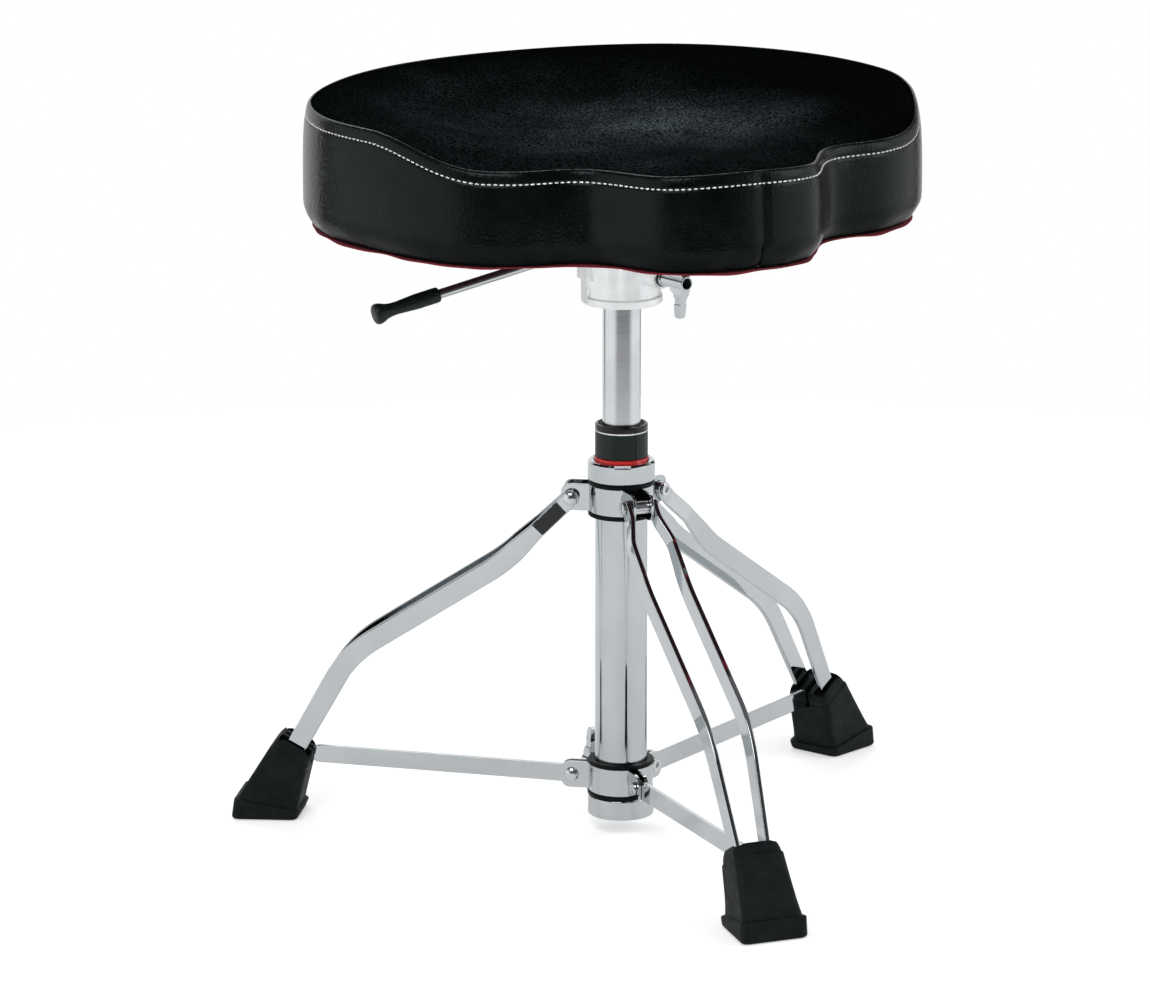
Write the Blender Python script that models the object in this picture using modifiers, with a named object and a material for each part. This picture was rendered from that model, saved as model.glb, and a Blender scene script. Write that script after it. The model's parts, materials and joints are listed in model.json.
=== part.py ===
"""Drum throne: saddle seat on a gas lift, with a folding tripod of double flat bars.

Units are metres and +Z is up.  The column stands on the Z line at (0, COLUMN_SETBACK), the origin is
on the floor at the centre of the footprint, and the front leg points along -Y.
"""
import math

import bmesh
import bpy
from mathutils import Vector

# Clearances and round-part resolution
FIT = 0.0003
FINE_STEPS = 24
SMALL_STEPS = 12
SHARP_ANGLE = math.radians(35.0)
MERGE_DISTANCE = 0.00001

# Gas lift
CYLINDER_RADIUS = 0.0140
CYLINDER_BOTTOM = 0.1050
CYLINDER_TOP = 0.4335
CYLINDER_END_WALL = 0.0100
ROD_RADIUS = 0.0050
ROD_TOP = 0.2450
ROD_NECK_RADIUS = 0.0040
CLIP_GROOVE_DEPTH = 0.0008
CLIP_THICKNESS = 0.0008
CLIP_WIDTH = 0.0040
CLIP_MOUTH = math.radians(40.0)
BEARING_HEIGHT = 0.0080
BUTTON_RADIUS = 0.0030
BUTTON_SOCKET_DEPTH = 0.0150
BUTTON_REST_GAP = 0.0045

# Column
TUBE_RADIUS = 0.01905
TUBE_WALL = 0.0018
CAP_RADIUS = 0.0242
CAP_BOTTOM = 0.0117
CAP_HEIGHT = 0.0146
CAP_FLOOR = 0.0030
CAP_HOLE_RADIUS = 0.0085
EDGE_ROUND = 0.0015
TOP_RING_RADIUS = 0.0248
TOP_RING_BOTTOM = 0.2639
TOP_RING_HEIGHT = 0.0126
TOP_RING_LIP = 0.0020
KEY_NOTCH_WIDTH = 0.0120
KEY_NOTCH_DEPTH = 0.0022
KEY_NOTCH_AZIMUTH = math.radians(-110.0)
ACCENT_RING_RADIUS = 0.0199
ACCENT_RING_HEIGHT = 0.0042
GUIDE_HEAD_RADIUS = 0.01915
GUIDE_HEAD_HEIGHT = 0.0240
GUIDE_SLEEVE_LENGTH = 0.0650
GUIDE_RIM_WIDTH = 0.0022
GUIDE_RIM_DEPTH = 0.0025
GUIDE_LINE_DROP = 0.0045
GUIDE_LINE_HEIGHT = 0.0009
GUIDE_LINE_DEPTH = 0.0003

# Bands: a black spool bush inside three straps whose ends turn out as ears
SPOOL_CORE_WALL = 0.0019
SPOOL_FLANGE_RADIUS = 0.0242
SPOOL_FLANGE_HEIGHT = 0.0030
STRAP_THICKNESS = 0.0020
STRAP_HEIGHT = 0.0198
EAR_NOSE = 0.0078
EAR_CORNER = 0.0070
BOLT_RADIUS = 0.0030
BOLT_HEAD_RADIUS = 0.0055
BOLT_HEAD_HEIGHT = 0.0026
BOLT_SOCKET_RADIUS = 0.0048
BOLT_SOCKET_HEIGHT = 0.0020
BOLT_HEX_RADIUS = 0.0025
BOLT_HEX_DEPTH = 0.0014
SPACER_WALL = 0.0015

# Legs: paired flat bars; lengths are reach from the column axis, height, and offset from mid-plane
LEG_AZIMUTHS = [math.radians(angle) for angle in (270.0, 30.0, 150.0)]
UPPER_PIVOT_REACH = 0.0355
LOWER_PIVOT_REACH = 0.0358
BAR_THICKNESS = 0.0038
BAR_EYE_WIDTH = 0.0120
BAR_EYE_SHARES = (0.98, 0.85, 0.6, 0.3)
BAR_WIDTH = 0.0155
BAR_FOOT_WIDTH = 0.0145
BAR_EYE_OFFSET = 0.0101
BAR_OFFSET = 0.0155
BAR_FOOT_OFFSET = 0.0105
JOGGLE_START = (0.0435, 0.2420)
JOGGLE_END = (0.0580, 0.2280)
SHOULDER = (0.0850, 0.2008)
KNEE = (0.1990, 0.1272)
BAR_END = (0.2475, 0.0400)
JOGGLE_BEND = 0.0035
SHOULDER_BEND = 0.0140
KNEE_BEND = 0.0230
BEND_STEPS = 4
STAY_THICKNESS = 0.0030
STAY_HEIGHT = 0.0135
STAY_END = (0.2305, 0.0469)

# Feet: rubber boots, each a stack of four-cornered sections from sole to rim
FOOT_OUTER_REACH = 0.2865
FOOT_INNER_REACH = 0.2375
FOOT_OUTER_HALF = 0.0254
FOOT_INNER_HALF = 0.0218
FOOT_SOLE_ROUND = 0.0025
FOOT_LIP_INNER = (0.2358, 0.0068)
FOOT_LIP_OUTER = (0.2845, 0.0160)
FOOT_LIP_STEP = 0.0016
FOOT_CORNER = 0.0050
FOOT_SHOULDER_INNER = (0.2300, 0.0400)
FOOT_SHOULDER_OUTER = (0.2575, 0.0560)
FOOT_SHOULDER_HALF = 0.0190
FOOT_RIM_INNER = (0.2262, 0.0492)
FOOT_RIM_OUTER = (0.2525, 0.0635)
FOOT_RIM_HALF = 0.0178
FOOT_RIM_LIP = 0.0018
FOOT_RIM_RECESS = 0.0040
STAY_SLOT_SIDE = 0.0010
STAY_SLOT_FLOOR = 0.0382
STAY_SLOT_REACH = 0.2562
STAY_SLOT_CORNER = 0.0550
STAY_SLOT_TOP = 0.0820

# Wing screws
WING_THREAD_RADIUS = 0.0040
WING_BOSS_RADIUS = 0.0053
WING_FLANGE_RADIUS = 0.0063
WING_FLANGE_THICKNESS = 0.0014
WING_BORE_RADIUS = 0.0041
WING_BORE_DEPTH = 0.0100
WING_SPAN = 0.0262
WING_DEPTH = 0.0070
WING_NECK_DEPTH = 0.0160
WING_SWEEP = 0.0048
WING_HALF_WIDTH = 0.0042
WING_TIP_HALF_WIDTH = 0.0027
WING_GROOVE = 0.0009
LUG_RADIUS = 0.0085
WASHER_THICKNESS = 0.0015
WASHER_RADIUS = 0.0068
CLAMP_BOSS_LENGTH = 0.0249
LOCK_BOSS_LENGTH = 0.0196
LOCK_LUG_REACH = 0.0275
LOCK_AZIMUTH = math.radians(100.0)

# Seat, in a frame turned by SEAT_YAW whose nose points along -Y
SEAT_YAW = math.radians(2.8)
SEAT_UNDERSIDE = 0.4577
SEAT_NOSE_REACH = 0.2108
SEAT_NOSE_HALF = 0.0560
SEAT_NOSE_SHOULDER = 0.1965
SEAT_NOTCH_HALF = 0.0950
SEAT_NOTCH_REACH = 0.1460
SEAT_THIGH_HALF = 0.1450
SEAT_THIGH_REACH = 0.1340
SEAT_LOBE_HALF = 0.1865
SEAT_LOBE_REACH = 0.1025
SEAT_HIP_HALF = 0.2140
SEAT_HIP_REACH = 0.0430
SEAT_HALF_WIDTH = 0.2270
SEAT_WIDEST_REACH = -0.0220
SEAT_REAR_HALF = 0.2080
SEAT_REAR_REACH = -0.0900
SEAT_TAIL_HALF = 0.1560
SEAT_TAIL_REACH = -0.1450
SEAT_BACK_HALF = 0.0800
SEAT_BACK_SHOULDER = -0.1800
SEAT_BACK_REACH = 0.1900
SEAT_FRONT_HEIGHT = 0.0670
SEAT_NOSE_LIFT = 0.0025
SEAT_HIP_HEIGHT = 0.0860
SEAT_BACK_HEIGHT = 0.0900
SEAT_DISH_HEIGHT = 0.0650
SEAT_CROWN = 0.0040
SEAT_RIM_INSET = 0.0050
SEAT_FOOT_INSET = 0.0080
SEAT_BELLY = 0.45
SEAT_FOOT_SHARE = 0.004
SEAT_TUCK_SHARE = 0.12
SEAT_LEAN_SHARE = 0.75
SEAT_TOP_SHARES = (1.0, 0.93, 0.80, 0.58, 0.30)
SEAT_DISH_POWER = 2.2
SEAT_CROWN_SHARE = 0.4
SEAT_NOSE_TURN = math.radians(25.0)
SEAT_HIP_TURNS = (math.radians(52.0), math.radians(80.0))
SEAT_BACK_TURNS = (math.radians(95.0), math.radians(150.0))
SEAT_OUTLINE_STEPS = 48
COVER_THICKNESS = 0.0020
UNDERSIDE_THICKNESS = 0.0018
UNDERSIDE_INSET = 0.0060
BOARD_THICKNESS = 0.0120
BOARD_INSET = 0.0130

# Hub
HUB_BOTTOM = 0.3946
HUB_FLANGE_RADIUS = 0.0295
HUB_FLANGE_HEIGHT = 0.0063
HUB_RADIUS = 0.0282
HUB_PLATE_RADIUS = 0.0560
HUB_PLATE_HEIGHT = 0.0050
HUB_BOLT_CIRCLE = 0.0440
HUB_BOLT_RADIUS = 0.0030
HUB_BOLT_HEAD_RADIUS = 0.0058
HUB_BOLT_HEAD_HEIGHT = 0.0040
HUB_BOLT_REACH = 0.0100
CLAMP_AZIMUTH = math.radians(-75.7)
CLAMP_HEIGHT = 0.4200
CLAMP_LUG_REACH = 0.0460
LEVER_BOSS_REACH = 0.0315
LEVER_BOSS_HALF = 0.0085
LEVER_BOSS_BOTTOM = 0.4137
LEVER_RIB_HALF = 0.0050
LEVER_RIB_REACH = 0.0300

# Lift lever
LEVER_PIVOT_REACH = 0.0220
LEVER_PIVOT_HEIGHT = 0.4385
LEVER_SLOPE = math.radians(11.9)
LEVER_RADIUS = 0.0035
LEVER_INNER_LENGTH = 0.0260
LEVER_OUTER_LENGTH = 0.1237
LEVER_IN_GRIP = 0.0220
LEVER_PIN_RADIUS = 0.0020
LEVER_PIN_HALF = 0.0140
LEVER_SLOT_SIDE = 0.0010
LEVER_SLOT_BELOW = 0.0060
LEVER_SLOT_ABOVE = 0.0100
GRIP_LENGTH = 0.0507
GRIP_RADIUS = 0.0056
GRIP_WAIST_RADIUS = 0.0044
GRIP_END_RADIUS = 0.0076

# Values that follow from the sizes above
COLUMN_SETBACK = (FOOT_OUTER_REACH - SEAT_BACK_REACH) / 2
CAP_TOP = CAP_BOTTOM + CAP_HEIGHT
TUBE_BOTTOM = CAP_BOTTOM + CAP_FLOOR + FIT
TUBE_TOP = TOP_RING_BOTTOM + TOP_RING_HEIGHT
TUBE_BORE = TUBE_RADIUS - TUBE_WALL
ACCENT_BOTTOM = TUBE_TOP + FIT
GUIDE_HEAD_BOTTOM = ACCENT_BOTTOM + ACCENT_RING_HEIGHT + FIT
GUIDE_TOP = GUIDE_HEAD_BOTTOM + GUIDE_HEAD_HEIGHT
GUIDE_SLEEVE_RADIUS = TUBE_BORE - FIT
GUIDE_BORE = CYLINDER_RADIUS + FIT
SPOOL_BORE = TUBE_RADIUS + FIT
SPOOL_CORE_RADIUS = SPOOL_BORE + SPOOL_CORE_WALL
SPOOL_HEIGHT = STRAP_HEIGHT + 2 * FIT + 2 * SPOOL_FLANGE_HEIGHT
LOWER_SPOOL_BOTTOM = CAP_TOP + FIT
UPPER_SPOOL_BOTTOM = TOP_RING_BOTTOM - FIT - SPOOL_HEIGHT
LOWER_PIVOT_HEIGHT = LOWER_SPOOL_BOTTOM + SPOOL_HEIGHT / 2
UPPER_PIVOT_HEIGHT = UPPER_SPOOL_BOTTOM + SPOOL_HEIGHT / 2
STRAP_INNER_RADIUS = SPOOL_CORE_RADIUS + FIT
STRAP_OUTER_RADIUS = STRAP_INNER_RADIUS + STRAP_THICKNESS
UPPER_EAR_OUTSIDE = BAR_EYE_OFFSET - BAR_THICKNESS / 2 - FIT
LOWER_EAR_OUTSIDE = STAY_THICKNESS / 2 + FIT + STRAP_THICKNESS
BOLT_HOLE_RADIUS = BOLT_RADIUS + FIT
ROD_SHOULDER = TUBE_BOTTOM + BEARING_HEIGHT + FIT
CLIP_TOP = TUBE_BOTTOM - 4 * FIT
ROD_BOTTOM = CAP_BOTTOM + FIT
BUTTON_TOP = LEVER_PIVOT_HEIGHT + LEVER_PIVOT_REACH * math.tan(LEVER_SLOPE)
BUTTON_TOP -= LEVER_RADIUS / math.cos(LEVER_SLOPE) + BUTTON_RADIUS * math.tan(LEVER_SLOPE) + FIT
HUB_TOP = SEAT_UNDERSIDE - UNDERSIDE_THICKNESS - FIT
HUB_PLATE_BOTTOM = HUB_TOP - HUB_PLATE_HEIGHT
HUB_BOLT_AZIMUTHS = [math.radians(angle) for angle in (45.0, 135.0, 225.0, 315.0)]
BOARD_BOTTOM = SEAT_UNDERSIDE + FIT
BOARD_TOP = BOARD_BOTTOM + BOARD_THICKNESS


def clear_scene():
    for old in list(bpy.data.objects):
        bpy.data.objects.remove(old, do_unlink=True)


def add_collection(name):
    collection = bpy.data.collections.new(name)
    bpy.context.scene.collection.children.link(collection)
    return collection


def make_material(name, colour, roughness, metallic=0.0):
    material = bpy.data.materials.new(name)
    material.use_nodes = True
    shader = material.node_tree.nodes["Principled BSDF"]
    shader.inputs["Base Color"].default_value = (*colour, 1.0)
    shader.inputs["Roughness"].default_value = roughness
    shader.inputs["Metallic"].default_value = metallic
    return material


clear_scene()
PARTS = add_collection("drum_throne")
CUTTERS = add_collection("drum_throne_cutters")

CHROME = make_material("chrome", (0.80, 0.82, 0.84), 0.08, 1.0)
CAST = make_material("cast_aluminium", (0.74, 0.75, 0.76), 0.35, 1.0)
STEEL = make_material("polished_steel", (0.66, 0.68, 0.70), 0.18, 1.0)
BLACK_PLASTIC = make_material("black_plastic", (0.015, 0.017, 0.017), 0.45)
RED_PLASTIC = make_material("red_plastic", (0.62, 0.03, 0.03), 0.30)
RUBBER = make_material("black_rubber", (0.013, 0.014, 0.015), 0.70)
CLOTH = make_material("black_cloth", (0.006, 0.006, 0.007), 0.95)
VINYL = make_material("black_vinyl", (0.012, 0.012, 0.013), 0.45)
LINING = make_material("crimson_lining", (0.40, 0.02, 0.05), 0.80)
FOAM = make_material("foam", (0.55, 0.52, 0.42), 0.95)
PLYWOOD = make_material("plywood", (0.52, 0.38, 0.22), 0.75)


def add_empty(name, location, azimuth=0.0, parent=None):
    """A frame whose X axis points along the azimuth."""
    empty = bpy.data.objects.new(name, None)
    empty.empty_display_size = 0.02
    empty.location = location
    empty.rotation_euler = (0.0, 0.0, azimuth)
    empty.parent = parent
    PARTS.objects.link(empty)
    return empty


def add_object(name, mesh, parent, location=(0, 0, 0), rotation=(0, 0, 0), collection=PARTS):
    item = bpy.data.objects.new(name, mesh)
    item.location = location
    item.rotation_euler = rotation
    item.parent = parent
    collection.objects.link(item)
    return item


def add_part(name, mesh, material, parent, location=(0, 0, 0), rotation=(0, 0, 0)):
    mesh.materials.append(material)
    mesh.shade_smooth()
    mesh.set_sharp_from_angle(angle=SHARP_ANGLE)
    return add_object(name, mesh, parent, location, rotation)


def add_cutter(name, mesh, parent, location=(0, 0, 0), rotation=(0, 0, 0)):
    cutter = add_object(name, mesh, parent, location, rotation, CUTTERS)
    cutter.hide_render = True
    cutter.display_type = "WIRE"
    return cutter


def combine(target, cutter, operation="DIFFERENCE"):
    modifier = target.modifiers.new(cutter.name, "BOOLEAN")
    modifier.operation = operation
    modifier.solver = "EXACT"
    modifier.object = cutter


def mesh_from_bmesh(name, bm):
    bmesh.ops.recalc_face_normals(bm, faces=bm.faces)
    mesh = bpy.data.meshes.new(name)
    bm.to_mesh(mesh)
    bm.free()
    return mesh


def loft_mesh(name, rows, closed=False):
    """Skin rows of points in order.  A row of one point is a pole; closed joins the last row to the first."""
    bm = bmesh.new()
    loops = [[bm.verts.new(point) for point in row] for row in rows]
    pairs = list(zip(loops, loops[1:]))
    if closed:
        pairs.append((loops[-1], loops[0]))
    for lower, upper in pairs:
        count = max(len(lower), len(upper))
        for i in range(count):
            j = (i + 1) % count
            corners = [
                lower[i % len(lower)],
                lower[j % len(lower)],
                upper[j % len(upper)],
                upper[i % len(upper)],
            ]
            bm.faces.new(list(dict.fromkeys(corners)))
    if not closed:
        for loop in (loops[0], loops[-1]):
            if len(loop) > 1:
                bm.faces.new(loop)
    return mesh_from_bmesh(name, bm)


def turned_mesh(name, profile, ring):
    """Profile edges for a Screw; a ring's profile is closed, a solid's starts and ends on the axis."""
    bm = bmesh.new()
    verts = [bm.verts.new((radius, 0.0, height)) for radius, height in profile]
    for first, second in zip(verts, verts[1:]):
        bm.edges.new((first, second))
    if ring:
        bm.edges.new((verts[-1], verts[0]))
    mesh = bpy.data.meshes.new(name)
    bm.to_mesh(mesh)
    bm.free()
    return mesh


def spin(item, steps):
    screw = item.modifiers.new("Screw", "SCREW")
    screw.axis = "Z"
    screw.angle = 2 * math.pi
    screw.steps = steps
    screw.render_steps = steps
    screw.use_merge_vertices = True
    screw.merge_threshold = MERGE_DISTANCE
    screw.use_smooth_shade = True


def add_turned(
    name, profile, material, parent, steps=FINE_STEPS, ring=True, location=(0, 0, 0), rotation=(0, 0, 0)
):
    """A turned piece; its profile runs down the outer side, then up the bore."""
    part = add_object(name, turned_mesh(name, profile, ring), parent, location, rotation)
    part.data.materials.append(material)
    spin(part, steps)
    return part


def add_turned_cutter(name, profile, parent, steps=SMALL_STEPS, location=(0, 0, 0), rotation=(0, 0, 0)):
    cutter = add_cutter(name, turned_mesh(name, profile, False), parent, location, rotation)
    spin(cutter, steps)
    return cutter


def ring_profile(outer, inner, bottom, top):
    return [(outer, top), (outer, bottom), (inner, bottom), (inner, top)]


def pin_profile(radius, bottom, top):
    return [(0.0, top), (radius, top), (radius, bottom), (0.0, bottom)]


def rounded_path(corners, bends, steps=BEND_STEPS):
    """Points along straight runs with each inner corner rounded over its bend length."""
    corners = [Vector(corner) for corner in corners]
    points = [corners[0]]
    for before, corner, after, bend in zip(corners, corners[1:], corners[2:], bends):
        start = corner + (before - corner).normalized() * bend
        end = corner + (after - corner).normalized() * bend
        for step in range(steps + 1):
            part = step / steps
            points.append(start.lerp(corner, part).lerp(corner.lerp(end, part), part))
    points.append(corners[-1])
    return points


def rounded_outline(corners, bend, steps=3):
    """A closed outline whose corners are all rounded over the same bend length."""
    closed = [corners[-1], *corners, corners[0]]
    return [tuple(point) for point in rounded_path(closed, [bend] * len(corners), steps)[1:-1]]


def circle(radius, count, centre=(0.0, 0.0)):
    turns = [2 * math.pi * i / count for i in range(count)]
    return [(centre[0] + radius * math.cos(a), centre[1] + radius * math.sin(a)) for a in turns]


def arc(radius, start, end, count):
    turns = [start + (end - start) * i / count for i in range(count + 1)]
    return [(radius * math.cos(a), radius * math.sin(a)) for a in turns]


def flat_mesh(name, outlines, thickness):
    """Outlines in the XY plane, holes included, thickened about Z = 0."""
    curve = bpy.data.curves.new(name, "CURVE")
    curve.dimensions = "2D"
    curve.fill_mode = "BOTH"
    curve.extrude = thickness / 2
    for outline in outlines:
        spline = curve.splines.new("POLY")
        spline.points.add(len(outline) - 1)
        spline.use_cyclic_u = True
        for point, (x, y) in zip(spline.points, outline):
            point.co = (x, y, 0.0, 1.0)
    guide = bpy.data.objects.new(name, curve)
    bpy.context.scene.collection.objects.link(guide)
    graph = bpy.context.evaluated_depsgraph_get()
    raw = bpy.data.meshes.new_from_object(guide.evaluated_get(graph))
    bpy.data.objects.remove(guide, do_unlink=True)
    bm = bmesh.new()
    bm.from_mesh(raw)
    bpy.data.meshes.remove(raw)
    bmesh.ops.remove_doubles(bm, verts=bm.verts, dist=MERGE_DISTANCE / 2)
    return mesh_from_bmesh(name, bm)


def box_mesh(name, low, high):
    bm = bmesh.new()
    bmesh.ops.create_cube(bm, size=1.0)
    size = Vector(high) - Vector(low)
    middle = (Vector(high) + Vector(low)) / 2
    for vert in bm.verts:
        vert.co = Vector(a * b for a, b in zip(vert.co, size)) + middle
    return mesh_from_bmesh(name, bm)


# A plate drawn in (reach, height) stands in a leg's mid-plane when turned like this
UPRIGHT = (math.pi / 2, 0.0, 0.0)
# A turned piece points along the frame's +Y, or along its +X, when turned like this
ALONG_Y = (-math.pi / 2, 0.0, 0.0)
ALONG_X = (0.0, math.pi / 2, 0.0)

STAND = add_empty("stand_axis", (0.0, COLUMN_SETBACK, 0.0))
SEAT = add_empty("seat_axis", (0.0, 0.0, 0.0), SEAT_YAW, STAND)


def build_column():
    add_turned("column_tube", ring_profile(TUBE_RADIUS, TUBE_BORE, TUBE_BOTTOM, TUBE_TOP), CHROME, STAND)
    cup_floor = CAP_BOTTOM + CAP_FLOOR
    cup_bore = TUBE_RADIUS + FIT
    cap = [
        (CAP_RADIUS - EDGE_ROUND / 2, CAP_TOP),
        (CAP_RADIUS, CAP_TOP - EDGE_ROUND / 2),
        (CAP_RADIUS, CAP_BOTTOM + EDGE_ROUND),
        (CAP_RADIUS - EDGE_ROUND, CAP_BOTTOM),
        (CAP_HOLE_RADIUS, CAP_BOTTOM),
        (CAP_HOLE_RADIUS, cup_floor),
        (cup_bore, cup_floor),
        (cup_bore, CAP_TOP),
    ]
    add_turned("bottom_cap", cap, CHROME, STAND)
    bearing = ring_profile(TUBE_BORE - FIT, ROD_NECK_RADIUS + FIT, TUBE_BOTTOM, TUBE_BOTTOM + BEARING_HEIGHT)
    add_turned("thrust_bearing", bearing, STEEL, STAND, SMALL_STEPS)
    build_top_ring()
    build_guide()


def build_top_ring():
    top = TUBE_TOP + TOP_RING_LIP
    lip_bore = ACCENT_RING_RADIUS + 2 * FIT
    ring = [
        (lip_bore, TUBE_TOP),
        (lip_bore, top),
        (TOP_RING_RADIUS - EDGE_ROUND, top),
        (TOP_RING_RADIUS, top - EDGE_ROUND),
        (TOP_RING_RADIUS, TOP_RING_BOTTOM + EDGE_ROUND / 2),
        (TOP_RING_RADIUS - EDGE_ROUND / 2, TOP_RING_BOTTOM),
        (TUBE_RADIUS + FIT, TOP_RING_BOTTOM),
        (TUBE_RADIUS + FIT, TUBE_TOP),
    ]
    part = add_turned("top_ring", ring, CHROME, STAND)
    low = (TOP_RING_RADIUS - KEY_NOTCH_DEPTH, -KEY_NOTCH_WIDTH / 2, top - KEY_NOTCH_DEPTH)
    high = (TOP_RING_RADIUS + KEY_NOTCH_DEPTH, KEY_NOTCH_WIDTH / 2, top + KEY_NOTCH_DEPTH)
    block = box_mesh("key_notch", low, high)
    notch = add_cutter("key_notch", block, STAND, (0, 0, 0), (0, 0, KEY_NOTCH_AZIMUTH))
    combine(part, notch)


def build_guide():
    accent = ring_profile(
        ACCENT_RING_RADIUS, GUIDE_SLEEVE_RADIUS + FIT, ACCENT_BOTTOM, ACCENT_BOTTOM + ACCENT_RING_HEIGHT
    )
    add_turned("accent_ring", accent, RED_PLASTIC, STAND)
    line_top = GUIDE_TOP - GUIDE_LINE_DROP
    line_bottom = line_top - GUIDE_LINE_HEIGHT
    line_radius = GUIDE_HEAD_RADIUS - GUIDE_LINE_DEPTH
    rim_inside = GUIDE_HEAD_RADIUS - GUIDE_RIM_WIDTH
    sleeve_bottom = GUIDE_HEAD_BOTTOM - GUIDE_SLEEVE_LENGTH
    guide = [
        (rim_inside, GUIDE_TOP),
        (GUIDE_HEAD_RADIUS - EDGE_ROUND / 2, GUIDE_TOP),
        (GUIDE_HEAD_RADIUS, GUIDE_TOP - EDGE_ROUND / 2),
        (GUIDE_HEAD_RADIUS, line_top),
        (line_radius, line_top),
        (line_radius, line_bottom),
        (GUIDE_HEAD_RADIUS, line_bottom),
        (GUIDE_HEAD_RADIUS, GUIDE_HEAD_BOTTOM),
        (GUIDE_SLEEVE_RADIUS, GUIDE_HEAD_BOTTOM),
        (GUIDE_SLEEVE_RADIUS, sleeve_bottom),
        (GUIDE_BORE, sleeve_bottom),
        (GUIDE_BORE, GUIDE_TOP - GUIDE_RIM_DEPTH),
        (rim_inside - GUIDE_RIM_WIDTH / 3, GUIDE_TOP - GUIDE_RIM_DEPTH),
    ]
    add_turned("guide_bush", guide, BLACK_PLASTIC, STAND)


def build_gas_lift():
    neck_bottom = ROD_BOTTOM
    groove_radius = ROD_NECK_RADIUS - CLIP_GROOVE_DEPTH
    groove_top = CLIP_TOP + FIT
    groove_bottom = CLIP_TOP - CLIP_THICKNESS - FIT
    rod = [
        (0.0, ROD_TOP),
        (ROD_RADIUS, ROD_TOP),
        (ROD_RADIUS, ROD_SHOULDER),
        (ROD_NECK_RADIUS, ROD_SHOULDER),
        (ROD_NECK_RADIUS, groove_top),
        (groove_radius, groove_top),
        (groove_radius, groove_bottom),
        (ROD_NECK_RADIUS, groove_bottom),
        (ROD_NECK_RADIUS, neck_bottom),
        (0.0, neck_bottom),
    ]
    add_turned("piston_rod", rod, STEEL, STAND, SMALL_STEPS, ring=False)
    clip_inner = groove_radius + FIT
    clip = arc(clip_inner + CLIP_WIDTH, CLIP_MOUTH, 2 * math.pi - CLIP_MOUTH, 12)
    clip += reversed(arc(clip_inner, CLIP_MOUTH, 2 * math.pi - CLIP_MOUTH, 12))
    middle = CLIP_TOP - CLIP_THICKNESS / 2
    add_part("rod_clip", flat_mesh("rod_clip", [clip], CLIP_THICKNESS), STEEL, STAND, (0, 0, middle))

    bore = ROD_RADIUS + FIT
    socket = BUTTON_RADIUS + FIT
    socket_bottom = CYLINDER_TOP - BUTTON_SOCKET_DEPTH
    bore_top = socket_bottom - CYLINDER_END_WALL
    cylinder = [
        (0.0, socket_bottom),
        (socket, socket_bottom),
        (socket, CYLINDER_TOP),
        (CYLINDER_RADIUS - EDGE_ROUND, CYLINDER_TOP),
        (CYLINDER_RADIUS, CYLINDER_TOP - EDGE_ROUND),
        (CYLINDER_RADIUS, CYLINDER_BOTTOM + EDGE_ROUND),
        (CYLINDER_RADIUS - EDGE_ROUND, CYLINDER_BOTTOM),
        (bore, CYLINDER_BOTTOM),
        (bore, bore_top),
        (0.0, bore_top),
    ]
    add_turned("gas_cylinder", cylinder, STEEL, SEAT, ring=False)
    button = pin_profile(BUTTON_RADIUS, socket_bottom + BUTTON_REST_GAP, BUTTON_TOP)
    add_turned("release_button", button, STEEL, SEAT, SMALL_STEPS, False)


def spool_profile(bottom):
    top = bottom + SPOOL_HEIGHT
    lower_face = bottom + SPOOL_FLANGE_HEIGHT
    upper_face = top - SPOOL_FLANGE_HEIGHT
    return [
        (SPOOL_FLANGE_RADIUS, top),
        (SPOOL_FLANGE_RADIUS, upper_face),
        (SPOOL_CORE_RADIUS, upper_face),
        (SPOOL_CORE_RADIUS, lower_face),
        (SPOOL_FLANGE_RADIUS, lower_face),
        (SPOOL_FLANGE_RADIUS, bottom),
        (SPOOL_BORE, bottom),
        (SPOOL_BORE, top),
    ]


def strap_outline(pivot_reach, ear_outside):
    """Plan view of one strap from the ear beside one leg round to the ear beside the next."""
    third = 2 * math.pi / 3
    ear_inside = ear_outside - STRAP_THICKNESS
    ear_end = pivot_reach + EAR_NOSE
    near_in = math.asin(ear_inside / STRAP_INNER_RADIUS)
    near_out = math.asin(ear_outside / STRAP_OUTER_RADIUS)

    def beside_next(reach, offset):
        return (
            reach * math.cos(third) - offset * math.sin(third),
            reach * math.sin(third) + offset * math.cos(third),
        )

    points = [(ear_end, ear_inside)]
    points += arc(STRAP_INNER_RADIUS, near_in, third - near_in, 8)
    points += [beside_next(ear_end, -ear_inside), beside_next(ear_end, -ear_outside)]
    points += arc(STRAP_OUTER_RADIUS, third - near_out, near_out, 8)
    points += [(ear_end, ear_outside)]
    return points


def ear_cutter_mesh(name, ear_outside):
    """Bolt hole and the two corners taken off an ear, drawn about the bolt."""
    half = STRAP_HEIGHT / 2
    beyond = EAR_NOSE + EAR_CORNER
    rounded = [(-EAR_CORNER, half), (EAR_NOSE, half), (EAR_NOSE, 0.0)]
    upper = [tuple(point) for point in rounded_path(rounded, [EAR_CORNER], 4)][1:-1]
    upper += [(beyond, upper[-1][1]), (beyond, half + EAR_CORNER), (upper[0][0], half + EAR_CORNER)]
    lower = [(x, -y) for x, y in reversed(upper)]
    hole = circle(BOLT_HOLE_RADIUS, SMALL_STEPS)
    return flat_mesh(name, [hole, upper, lower], 2 * ear_outside + 4 * STRAP_THICKNESS)


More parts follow.
